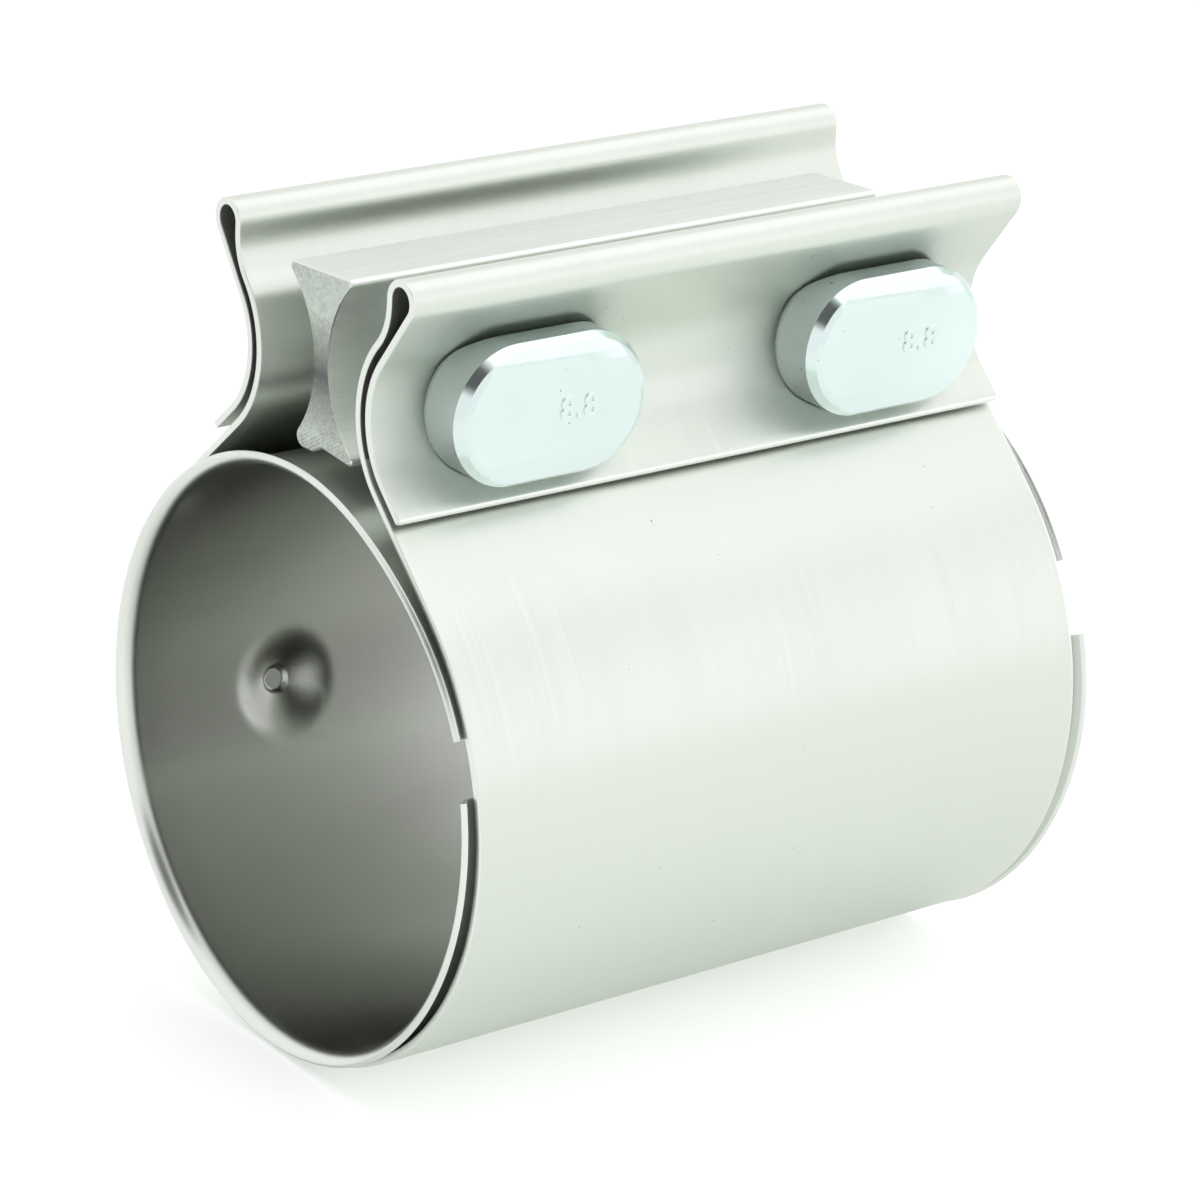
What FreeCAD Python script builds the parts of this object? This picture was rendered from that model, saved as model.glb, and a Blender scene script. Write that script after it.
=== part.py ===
"""Two-bolt exhaust band clamp, as delivered: open, with its nuts run on by hand.

Frame, in millimetres: the origin is the middle of the pipe bore, Y runs along the pipe, Z points up
through the flanges and X towards the bolt heads. Front is the -Y end.

The clamp is a wide strip of sheet rolled round a thinner split sleeve. Both ends of the strip are folded
back on themselves into double-ply flanges. Two bolts draw the flanges together onto a solid bar of
hourglass section. Each bolt head seats in the trough of the right flange, and each nut bears on a
saddle washer in the trough of the left one.
"""
import FreeCAD, Part
import math
import os

import Sketcher
from FreeCAD import Placement, Rotation, Vector

# Driving dimensions: name, value in millimetres or degrees, what it is.
SIZES = (
    ("pipe_bore_radius", 38.7, "inside radius of the open sleeve"),
    ("sleeve_length", 101.6, "overall length of the sleeve, lip to lip"),
    ("sleeve_overhang", 1.6, "how far each end of the sleeve stands out of the band"),
    ("sleeve_sheet", 0.6, "thickness of the sleeve"),
    ("sleeve_ease", 0.1, "gap between sleeve and band along the bottom"),
    ("lip_length", 1.64, "length of the flared lip at each end of the sleeve, along the pipe"),
    ("lip_angle", 51.0, "angle through which each lip is bent outwards"),
    ("split_near", 8.0, "width of the sleeve's split at the front end"),
    ("split_far", 10.0, "width of the sleeve's split at the rear end"),
    ("split_angle", 21.5, "where the split lies, up from +X"),
    ("split_skew", 2.9, "how much higher the split lies at the rear than at the front"),
    ("band_sheet", 1.0, "thickness of the strip"),
    ("band_slack", 0.35, "how far the loose band stands off the sleeve at its sides"),
    ("flange_gap", 21.0, "clear width between the two flanges at their waists"),
    ("ply_gap", 1.1, "gap between the two plies of a flange"),
    ("trough_radius", 11.4, "radius of the trough along the outside of each flange"),
    ("neck_radius", 8.0, "bend radius between a flange's waist and its eye"),
    ("eye_radius", 2.83, "outside radius of the rolled eye along a flange's top"),
    ("eye_offset", 8.5, "how far an eye's centre lies outside its flange's waist"),
    ("eye_rise", 1.1, "straight rise between the neck bend and the eye's centre"),
    ("hem_length", 5.2, "straight length of the folded ply below the trough"),
    ("dimple_angle", 191.5, "where the locking dimple lies, up from +X"),
    ("dimple_offset", 24.8, "distance of the dimple in front of the middle"),
    ("dimple_depth", 2.4, "depth of the dimple in the sleeve"),
    ("dimple_mouth_radius", 5.6, "radius of the dimple's mouth in the sleeve"),
    ("dimple_floor_radius", 2.1, "radius of the dimple's flat floor in the sleeve"),
    ("dimple_ease", 0.15, "gap between the nested dimples of sleeve and band"),
    ("bolt_inset", 21.2, "distance of each bolt from its end of the band"),
    ("bolt_radius", 5.0, "radius of the plain shank"),
    ("bolt_hole_ease", 0.5, "gap round the shank in flanges, bar and saddles"),
    ("thread_depth", 0.75, "depth of the thread, which the threaded end is drawn without"),
    ("bolt_length", 50.0, "length of the bolt under its head"),
    ("shank_length", 12.0, "length of the plain shank under the head"),
    ("seat_ease", 0.2, "gap between a head or saddle and its trough"),
    ("head_length", 29.4, "length of the oblong head, along the pipe"),
    ("head_margin", 2.1, "how far inside the trough's radius the head's long sides lie"),
    ("head_thickness", 10.0, "thickness of the head on the bolt's axis"),
    ("head_facet", 3.6, "height of each sloping facet beside the flat strip along the head's face"),
    ("head_slope", 0.75, "drop of the face from that flat to the head's long sides"),
    ("head_undercut", 3.0, "bevel under each end of the head"),
    ("head_bevel", 1.6, "bevel over each end of the head"),
    ("saddle_edge", 1.04, "thickness of a saddle washer along its long sides"),
    ("saddle_bevel", 0.8, "bevel round a saddle's flat back"),
    ("nut_across_flats", 16.0, "nut, across flats"),
    ("nut_height", 8.4, "nut, height"),
    ("nut_bevel", 30.0, "bevel angle of the corners on the nut's outer face"),
    ("thread_ease", 0.09, "running gap between nut and threaded end"),
    ("bar_setback", 1.5, "distance of the bar's front end behind the band's front edge"),
    ("bar_far_setback", 11.9, "distance of the bar's rear end in front of the band's rear edge"),
    ("bar_edge_inset", 2.7, "how far inside its hollow sides' radius the bar's top and bottom lie"),
    ("bar_waist", 3.0, "thickness of the bar at its waist"),
    ("bar_side_ease", 0.2, "how much larger the bar's hollow sides are than the flanges they take"),
    ("bar_tip_round", 0.65, "rounding of the bar's two top edges and right foot"),
    ("bar_heel_round", 1.3, "rounding of the bar's left foot"),
    ("bar_notch", 0.9, "depth of the notch in the bar's underside"),
    ("bar_clearance", 2.7, "height of the bar above the sleeve, before it leans"),
    ("bar_rise", 2.5, "height of the bar's waist above the bolts"),
    ("bar_shift", 0.7, "how far the loose bar lies right of the middle"),
    ("bar_lean", 4.0, "lean of the loose bar, top to the left"),
)

# Values that several expressions share, written once.
BAND_WIDTH = "(sizes.sleeve_length - 2 * sizes.sleeve_overhang)"
BOLT_SPACING = f"({BAND_WIDTH} - 2 * sizes.bolt_inset)"
BAND_INSIDE = "(sizes.pipe_bore_radius + sizes.sleeve_sheet + sizes.sleeve_ease + sizes.band_slack)"
FLANGE_PACK = "(2 * sizes.band_sheet + sizes.ply_gap)"
WAIST_RADIUS = f"(sizes.trough_radius + {FLANGE_PACK})"
TROUGH_CENTRE = f"(sizes.flange_gap / 2 + {WAIST_RADIUS})"
TROUGH_FLOOR = f"(sizes.flange_gap / 2 + {FLANGE_PACK})"
SEAT_RADIUS = "(sizes.trough_radius - sizes.seat_ease)"
BAR_SIDE_RADIUS = f"({WAIST_RADIUS} + sizes.bar_side_ease)"
HALF_BAR_HEIGHT = f"({BAR_SIDE_RADIUS} - sizes.bar_edge_inset)"
BAR_LEVEL = f"(sizes.pipe_bore_radius + sizes.sleeve_sheet + sizes.bar_clearance + {HALF_BAR_HEIGHT})"
BOLT_HEIGHT = f"({BAR_LEVEL} - sizes.bar_rise)"
BOLT_HOLE_RADIUS = "(sizes.bolt_radius + sizes.bolt_hole_ease)"
CORE_RADIUS = "(sizes.bolt_radius - sizes.thread_depth)"
HALF_HEAD_HEIGHT = "(sizes.trough_radius - sizes.head_margin)"
SEAT_DEPTH = f"sqrt({SEAT_RADIUS} * {SEAT_RADIUS} - {HALF_HEAD_HEIGHT} * {HALF_HEAD_HEIGHT})"
SADDLE_BACK = f"({TROUGH_CENTRE} - {SEAT_DEPTH} + sizes.saddle_edge)"

# How far a cutting or trimming shape runs past what it cuts.
OVERRUN = 1.0
# The round face left on a bevelled nut, as a share of its width across flats.
NUT_FACE_SHARE = 0.95


def make_sheet(doc):
    """Fill the spreadsheet with the driving dimensions and return it."""
    sheet = doc.addObject("Spreadsheet::Sheet", "sizes")
    for row, (name, value, note) in enumerate(SIZES, start=1):
        sheet.set(f"A{row}", name)
        sheet.set(f"B{row}", str(value))
        sheet.set(f"C{row}", note)
        sheet.setAlias(f"B{row}", name)
    doc.recompute()
    return sheet


class Sizes:
    """The sheet's values as attributes, and the lengths worked out from them."""

    def __init__(self, sheet):
        for name, _, _ in SIZES:
            setattr(self, name, float(sheet.get(name)))
        self.band_width = self.sleeve_length - 2 * self.sleeve_overhang
        self.bolt_spacing = self.band_width - 2 * self.bolt_inset
        self.sleeve_outside = self.pipe_bore_radius + self.sleeve_sheet
        self.band_inside = self.sleeve_outside + self.sleeve_ease + self.band_slack
        self.waist_radius = self.trough_radius + 2 * self.band_sheet + self.ply_gap
        self.trough_centre = self.flange_gap / 2 + self.waist_radius
        self.trough_floor = self.trough_centre - self.trough_radius
        self.seat_radius = self.trough_radius - self.seat_ease
        self.bar_side_radius = self.waist_radius + self.bar_side_ease
        self.half_bar_height = self.bar_side_radius - self.bar_edge_inset
        self.bar_level = self.sleeve_outside + self.bar_clearance + self.half_bar_height
        self.bolt_height = self.bar_level - self.bar_rise
        self.bolt_hole_radius = self.bolt_radius + self.bolt_hole_ease
        self.half_head_height = self.trough_radius - self.head_margin
        seat_depth = math.sqrt(self.seat_radius ** 2 - self.half_head_height ** 2)
        self.saddle_back = self.trough_centre - seat_depth + self.saddle_edge


def polar(centre, radius, angle):
    """Point at an angle, in radians, on a circle in a sketch's own plane."""
    return Vector(centre.x + radius * math.cos(angle), centre.y + radius * math.sin(angle), 0)


def arc(centre, radius, start, end):
    """Arc drawn anticlockwise between two angles in radians."""
    return Part.ArcOfCircle(Part.Circle(centre, Vector(0, 0, 1), radius), start, end)


def add_sketch(owner, name, role):
    """Sketch in a body, attached to one of the body's own origin planes."""
    sketch = owner.newObject("Sketcher::SketchObject", name)
    plane = next(feature for feature in owner.Origin.OriginFeatures if feature.Role == role)
    sketch.AttachmentSupport = [(plane, "")]
    sketch.MapMode = "FlatFace"
    return sketch


def dimension(sketch, expression, kind, *references):
    """Dimensional constraint that follows an expression in the sheet's sizes."""
    index = sketch.addConstraint(Sketcher.Constraint(kind, *references))
    sketch.setExpression(f"Constraints[{index}]", expression)


def relate(sketch, kind, *references):
    """Geometric constraint."""
    sketch.addConstraint(Sketcher.Constraint(kind, *references))


def close_polygon(sketch, points):
    """Draw a closed polygon of lines joined end to end, and return the number of its first line."""
    first = sketch.GeometryCount
    count = len(points)
    for index, point in enumerate(points):
        sketch.addGeometry(Part.LineSegment(point, points[(index + 1) % count]))
    for index in range(count):
        relate(sketch, "Coincident", first + index, 2, first + (index + 1) % count, 1)
    return first


def pin_point(sketch, geometry, end, x_expression, y_expression):
    """Hold one end of a line at a place given by two expressions."""
    point = sketch.getPoint(geometry, end)
    dimension(sketch, x_expression, "DistanceX", -1, 1, geometry, end, point.x)
    dimension(sketch, y_expression, "DistanceY", -1, 1, geometry, end, point.y)


def make_outer_band(doc, size):
    """Strip with both ends folded into double-ply flanges, bolt holes and locking dimple."""
    body = doc.addObject("PartDesign::Body", "outer_band")
    spine = add_sketch(body, "band_path", "XZ_Plane")
    draw_band_path(spine, size)
    strip = add_sketch(body, "strip_section", "YZ_Plane")
    draw_strip_section(strip, size)
    half = body.newObject("PartDesign::AdditivePipe", "half_band")
    half.Profile = strip
    half.Spine = spine
    doc.recompute()
    whole = body.newObject("PartDesign::Mirrored", "whole_band")
    whole.Originals = [half]
    whole.MirrorPlane = (origin_plane(body, "YZ_Plane"), [""])
    body.Tip = whole
    doc.recompute()
    punch_bolt_holes(doc, body, size, size.bolt_height, BOLT_HEIGHT)
    ease = size.sleeve_sheet + size.dimple_ease
    add_dimple(doc, body, size,
               (ease, "(sizes.sleeve_sheet + sizes.dimple_ease)"),
               (size.band_sheet, "sizes.band_sheet"),
               (size.band_inside, BAND_INSIDE))
    return body


def origin_plane(body, role):
    """One of a body's own origin planes."""
    return next(feature for feature in body.Origin.OriginFeatures if feature.Role == role)


def draw_band_path(sketch, size):
    """Right half of the line that the strip's inner face follows.

    From the bottom it runs round the bore, straight up to the flange, over the waist, through the neck,
    round the eye and back down the outer ply to the free edge.
    """
    band_centre = Vector(0, size.band_slack, 0)
    trough_centre = Vector(size.trough_centre, size.bolt_height, 0)
    across = trough_centre - band_centre
    bearing = math.atan2(across.y, across.x)
    leave = bearing - math.acos((size.band_inside + size.waist_radius) / across.Length)

    eye_x = size.flange_gap / 2 + size.eye_offset
    inner_x = eye_x - size.eye_radius
    neck_x = inner_x - size.neck_radius
    neck_reach = size.waist_radius + size.neck_radius
    neck_rise = math.sqrt(neck_reach ** 2 - (trough_centre.x - neck_x) ** 2)
    neck_centre = Vector(neck_x, trough_centre.y + neck_rise, 0)
    neck_angle = math.atan2(neck_centre.y - trough_centre.y, neck_centre.x - trough_centre.x)
    eye_centre = Vector(eye_x, neck_centre.y + size.eye_rise, 0)

    down = trough_centre - eye_centre
    eye_leave = math.atan2(down.y, down.x) + math.acos((size.eye_radius + size.trough_radius) / down.Length)
    half_turn = math.pi
    hem_start = polar(trough_centre, size.trough_radius, half_turn + leave)
    hem_end = hem_start + Vector(math.sin(leave), -math.cos(leave), 0) * size.hem_length

    wrap, rise, waist, neck, stem, eye, slope, trough, hem = range(9)
    sketch.addGeometry([
        arc(band_centre, size.band_inside, -math.pi / 2, leave),
        Part.LineSegment(polar(band_centre, size.band_inside, leave),
                         polar(trough_centre, size.waist_radius, half_turn + leave)),
        arc(trough_centre, size.waist_radius, neck_angle, half_turn + leave),
        arc(neck_centre, size.neck_radius, neck_angle - half_turn, 0),
        Part.LineSegment(Vector(inner_x, neck_centre.y, 0), Vector(inner_x, eye_centre.y, 0)),
        arc(eye_centre, size.eye_radius, eye_leave, half_turn),
        Part.LineSegment(polar(eye_centre, size.eye_radius, eye_leave),
                         polar(trough_centre, size.trough_radius, half_turn + eye_leave)),
        arc(trough_centre, size.trough_radius, half_turn + eye_leave, half_turn + leave),
        Part.LineSegment(hem_start, hem_end),
    ])
    for joint in ((wrap, 2, rise, 1), (rise, 2, waist, 2), (waist, 1, neck, 1), (neck, 2, stem, 1),
                  (stem, 2, eye, 2), (eye, 1, slope, 1), (slope, 2, trough, 1), (trough, 2, hem, 1)):
        relate(sketch, "Tangent", *joint)
    relate(sketch, "PointOnObject", wrap, 3, -2)
    relate(sketch, "PointOnObject", wrap, 1, -2)
    relate(sketch, "Vertical", stem)
    relate(sketch, "Coincident", trough, 3, waist, 3)
    relate(sketch, "Parallel", hem, rise)
    dimension(sketch, "sizes.band_slack", "DistanceY", -1, 1, wrap, 3, size.band_slack)
    dimension(sketch, BAND_INSIDE, "Radius", wrap, size.band_inside)
    dimension(sketch, TROUGH_CENTRE, "DistanceX", -1, 1, waist, 3, size.trough_centre)
    dimension(sketch, BOLT_HEIGHT, "DistanceY", -1, 1, waist, 3, size.bolt_height)
    dimension(sketch, WAIST_RADIUS, "Radius", waist, size.waist_radius)
    dimension(sketch, "sizes.neck_radius", "Radius", neck, size.neck_radius)
    dimension(sketch, "sizes.eye_radius", "Radius", eye, size.eye_radius)
    dimension(sketch, "sizes.flange_gap / 2 + sizes.eye_offset", "DistanceX", -1, 1, eye, 3, eye_x)
    dimension(sketch, "sizes.eye_rise", "Distance", stem, size.eye_rise)
    dimension(sketch, "sizes.trough_radius", "Radius", trough, size.trough_radius)
    dimension(sketch, "sizes.hem_length", "Distance", hem, size.hem_length)


def draw_strip_section(sketch, size):
    """Section of the flat strip, at the bottom of the band."""
    top = -(size.sleeve_outside + size.sleeve_ease)
    bottom = top - size.band_sheet
    half = size.band_width / 2
    corners = [Vector(-half, top, 0), Vector(half, top, 0), Vector(half, bottom, 0), Vector(-half, bottom, 0)]
    upper = close_polygon(sketch, corners)
    relate(sketch, "Vertical", upper + 1)
    relate(sketch, "Horizontal", upper + 2)
    relate(sketch, "Symmetric", upper, 1, upper, 2, -2)
    relate(sketch, "Vertical", upper + 3)
    dimension(sketch, BAND_WIDTH, "Distance", upper, size.band_width)
    dimension(sketch, "sizes.band_sheet", "Distance", upper + 1, size.band_sheet)
    dimension(sketch, f"{BAND_INSIDE} - sizes.band_slack", "DistanceY", upper, 1, -1, 1, -top)


def punch_bolt_holes(doc, body, size, height, expression):
    """Two round holes along X through a whole body, at a height in the body's own frame."""
    sketch = add_sketch(body, "bolt_hole_circles", "YZ_Plane")
    for index, side in enumerate((-1, 1)):
        centre = Vector(side * size.bolt_spacing / 2, height, 0)
        sketch.addGeometry(Part.Circle(centre, Vector(0, 0, 1), size.bolt_hole_radius))
        dimension(sketch, BOLT_HOLE_RADIUS, "Radius", index, size.bolt_hole_radius)
    relate(sketch, "Symmetric", 0, 3, 1, 3, -2)
    dimension(sketch, BOLT_SPACING, "DistanceX", 0, 3, 1, 3, size.bolt_spacing)
    lower, upper = ((-1, 1), (0, 3)) if height > 0 else ((0, 3), (-1, 1))
    dimension(sketch, expression, "DistanceY", *lower, *upper, abs(height))
    holes = body.newObject("PartDesign::Pocket", "bolt_holes")
    holes.Profile = sketch
    holes.SideType = "Symmetric"
    holes.Type = "ThroughAll"
    doc.recompute()


def add_dimple(doc, body, size, inside, sheet, wall):
    """Press the locking dimple outwards through a sheet: a boss outside it, then the hollow inside.

    Each argument after size is a value and its expression: what lies between the dimple's own surface
    and this sheet's hollow, the thickness of the sheet, and the radius of the sheet's inner face.
    """
    outside = (inside[0] + sheet[0], f"({inside[1]} + {sheet[1]})")
    in_wall = (wall[0] + sheet[0] / 5, f"({wall[1]} + {sheet[1]} / 5)")
    within = (wall[0] - sheet[0], f"({wall[1]} - {sheet[1]})")
    for name, kind, offset, low in (("dimple_boss", "PartDesign::Revolution", outside, in_wall),
                                    ("dimple_hollow", "PartDesign::Groove", inside, within)):
        sketch = dimple_sketch(body, f"{name}_section", size)
        draw_dimple(sketch, size, offset, low)
        turned = body.newObject(kind, name)
        turned.Profile = sketch
        turned.ReferenceAxis = (sketch, ["Axis0"])
        turned.Angle = 360
        doc.recompute()


def dimple_sketch(body, name, size):
    """Sketch in the plane through the bore's axis and the dimple: x is outwards and y along the pipe."""
    sketch = add_sketch(body, name, "XY_Plane")
    sketch.AttachmentOffset = Placement(Vector(), Rotation(Vector(0, -1, 0), size.dimple_angle))
    sketch.setExpression("AttachmentOffset.Rotation.Angle", "sizes.dimple_angle * 1 deg")
    return sketch


def draw_dimple(sketch, size, offset, low):
    """Half section of the dimple's cone, to be turned about a radial line.

    All the dimple's surfaces are one cone moved outwards. A third of the move goes sideways as well, so
    that the sheets keep their thickness along the slope. Offset is that move and low is the radius at
    which the section starts, each a value and its expression.
    """
    level = -size.dimple_offset
    steepness = (size.dimple_mouth_radius - size.dimple_floor_radius) / size.dimple_depth
    steepness_expression = "(sizes.dimple_mouth_radius - sizes.dimple_floor_radius) / sizes.dimple_depth"
    high = size.pipe_bore_radius + size.dimple_depth + offset[0]
    high_expression = f"sizes.pipe_bore_radius + sizes.dimple_depth + {offset[1]}"
    floor = size.dimple_floor_radius + offset[0] / 3
    floor_expression = f"sizes.dimple_floor_radius + {offset[1]} / 3"
    mouth = floor + (high - low[0]) * steepness
    mouth_expression = f"{floor_expression} + ({high_expression} - {low[1]}) * {steepness_expression}"

    foot, slope, roof, centre_line = range(4)
    close_polygon(sketch, [Vector(low[0], level, 0), Vector(low[0], level + mouth, 0),
                           Vector(high, level + floor, 0), Vector(high, level, 0)])
    relate(sketch, "Vertical", foot)
    relate(sketch, "Vertical", roof)
    relate(sketch, "Horizontal", centre_line)
    dimension(sketch, low[1], "DistanceX", -1, 1, foot, 1, low[0])
    dimension(sketch, high_expression, "DistanceX", -1, 1, slope, 2, high)
    dimension(sketch, mouth_expression, "Distance", foot, mouth)
    dimension(sketch, floor_expression, "Distance", roof, floor)
    dimension(sketch, "sizes.dimple_offset", "DistanceY", foot, 1, -1, 1, size.dimple_offset)
    axis = sketch.addGeometry(Part.LineSegment(Vector(low[0], level, 0), Vector(high, level, 0)), True)
    relate(sketch, "Coincident", axis, 1, foot, 1)
    relate(sketch, "Coincident", axis, 2, centre_line, 1)


def make_inner_sleeve(doc, size):
    """Thin split liner with bell-mouthed ends and the inner half of the locking dimple."""
    body = doc.addObject("PartDesign::Body", "inner_sleeve")
    section = add_sketch(body, "sleeve_section", "XY_Plane")
    draw_sleeve_section(section, size)
    half = body.newObject("PartDesign::Revolution", "half_sleeve")
    half.Profile = section
    half.ReferenceAxis = (section, ["V_Axis"])
    half.Angle = 360
    doc.recompute()
    whole = body.newObject("PartDesign::Mirrored", "whole_sleeve")
    whole.Originals = [half]
    whole.MirrorPlane = (origin_plane(body, "XZ_Plane"), [""])
    body.Tip = whole
    doc.recompute()
    cut_split(doc, body, size)
    add_dimple(doc, body, size, (0.0, "0"), (size.sleeve_sheet, "sizes.sleeve_sheet"),
               (size.pipe_bore_radius, "sizes.pipe_bore_radius"))
    return body


def draw_sleeve_section(sketch, size):
    """Half of the sleeve's wall, from the middle to the rear lip, with x as the radius.

    The sheet is bent about its own outer corner, so the bend is as round inside as the sheet is thick.
    """
    inside, outside, sheet = size.pipe_bore_radius, size.sleeve_outside, size.sleeve_sheet
    bend = math.radians(size.lip_angle)
    end = size.sleeve_length / 2
    corner = Vector(outside, end - size.lip_length, 0)
    bend_end = polar(corner, sheet, math.pi - bend)
    flare = (size.lip_length - sheet * math.sin(bend)) / math.cos(bend)
    along = Vector(math.sin(bend), math.cos(bend), 0) * flare
    rim_inside, rim_outside = bend_end + along, corner + along
    bore, turn, face, rim, back, outer, cut = range(7)
    sketch.addGeometry([
        Part.LineSegment(Vector(inside, 0, 0), Vector(inside, corner.y, 0)),
        arc(corner, sheet, math.pi - bend, math.pi),
        Part.LineSegment(bend_end, rim_inside),
        Part.LineSegment(rim_inside, rim_outside),
        Part.LineSegment(rim_outside, corner),
        Part.LineSegment(corner, Vector(outside, 0, 0)),
        Part.LineSegment(Vector(outside, 0, 0), Vector(inside, 0, 0)),
    ])
    relate(sketch, "Tangent", bore, 2, turn, 2)
    relate(sketch, "Tangent", turn, 1, face, 1)
    for joint in ((face, 2, rim, 1), (rim, 2, back, 1), (back, 2, outer, 1), (outer, 2, cut, 1),
                  (cut, 2, bore, 1)):
        relate(sketch, "Coincident", *joint)
    relate(sketch, "Coincident", turn, 3, back, 2)
    relate(sketch, "Perpendicular", rim, face)
    relate(sketch, "Parallel", back, face)
    relate(sketch, "Vertical", bore)
    relate(sketch, "Vertical", outer)
    relate(sketch, "PointOnObject", bore, 1, -1)
    relate(sketch, "PointOnObject", outer, 2, -1)
    dimension(sketch, "sizes.pipe_bore_radius", "DistanceX", -1, 1, bore, 1, inside)
    dimension(sketch, "sizes.sleeve_sheet", "DistanceX", bore, 1, outer, 2, sheet)
    dimension(sketch, "sizes.sleeve_length / 2", "DistanceY", -1, 1, face, 2, end)
    dimension(sketch, "sizes.lip_length", "DistanceY", bore, 2, face, 2, size.lip_length)
    dimension(sketch, "90 deg - sizes.lip_angle * 1 deg", "Angle", -1, 1, back, 2, math.pi / 2 - bend)


def cut_split(doc, body, size):
    """Open the sleeve along its length. The loose sleeve's split widens and rises towards the rear."""
    sketch = add_sketch(body, "split_outline", "YZ_Plane")
    sketch.AttachmentOffset = Placement(Vector(), Rotation(Vector(-1, 0, 0), size.split_angle))
    sketch.setExpression("AttachmentOffset.Rotation.Angle", "sizes.split_angle * 1 deg")
    half = size.sleeve_length / 2
    near_foot = -(size.split_near + size.split_skew) / 2
    far_foot = -(size.split_far - size.split_skew) / 2
    near, upper, far, lower = range(4)
    close_polygon(sketch, [
        Vector(-half, near_foot, 0), Vector(-half, near_foot + size.split_near, 0),
        Vector(half, far_foot + size.split_far, 0), Vector(half, far_foot, 0)])
    relate(sketch, "Vertical", near)
    relate(sketch, "Vertical", far)
    dimension(sketch, "sizes.split_near", "Distance", near, size.split_near)
    dimension(sketch, "sizes.split_far", "Distance", far, size.split_far)
    dimension(sketch, "sizes.sleeve_length / 2", "DistanceX", near, 1, -1, 1, half)
    dimension(sketch, "sizes.sleeve_length / 2", "DistanceX", -1, 1, upper, 2, half)
    dimension(sketch, "(sizes.split_near + sizes.split_skew) / 2", "DistanceY", near, 1, -1, 1, -near_foot)
    dimension(sketch, "(sizes.split_far - sizes.split_skew) / 2", "DistanceY", lower, 1, -1, 1, -far_foot)
    split = body.newObject("PartDesign::Pocket", "split")
    split.Profile = sketch
    split.Reversed = True
    split.Type = "ThroughAll"
    doc.recompute()


def make_spacer_bar(doc, size):
    """Solid bar of hourglass section. It lies loose between the flanges, leaning a little."""
    body = doc.addObject("PartDesign::Body", "spacer_bar")
    section = add_sketch(body, "bar_section", "XZ_Plane")
    section.setExpression("AttachmentOffset.Base.z", "(sizes.bar_far_setback - sizes.bar_setback) / 2")
    draw_bar_section(section, size)
    bar = body.newObject("PartDesign::Pad", "bar")
    bar.Profile = section
    bar.SideType = "Symmetric"
    bar.setExpression("Length", f"{BAND_WIDTH} - sizes.bar_setback - sizes.bar_far_setback")
    doc.recompute()
    punch_bolt_holes(doc, body, size, -size.bar_rise, "sizes.bar_rise")
    body.Placement = Placement(Vector(size.bar_shift, 0, size.bar_level),
                               Rotation(Vector(0, -1, 0), size.bar_lean))
    body.setExpression("Placement.Base.x", "sizes.bar_shift")
    body.setExpression("Placement.Base.z", BAR_LEVEL)
    body.setExpression("Placement.Rotation.Angle", "sizes.bar_lean * 1 deg")
    return body


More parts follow.
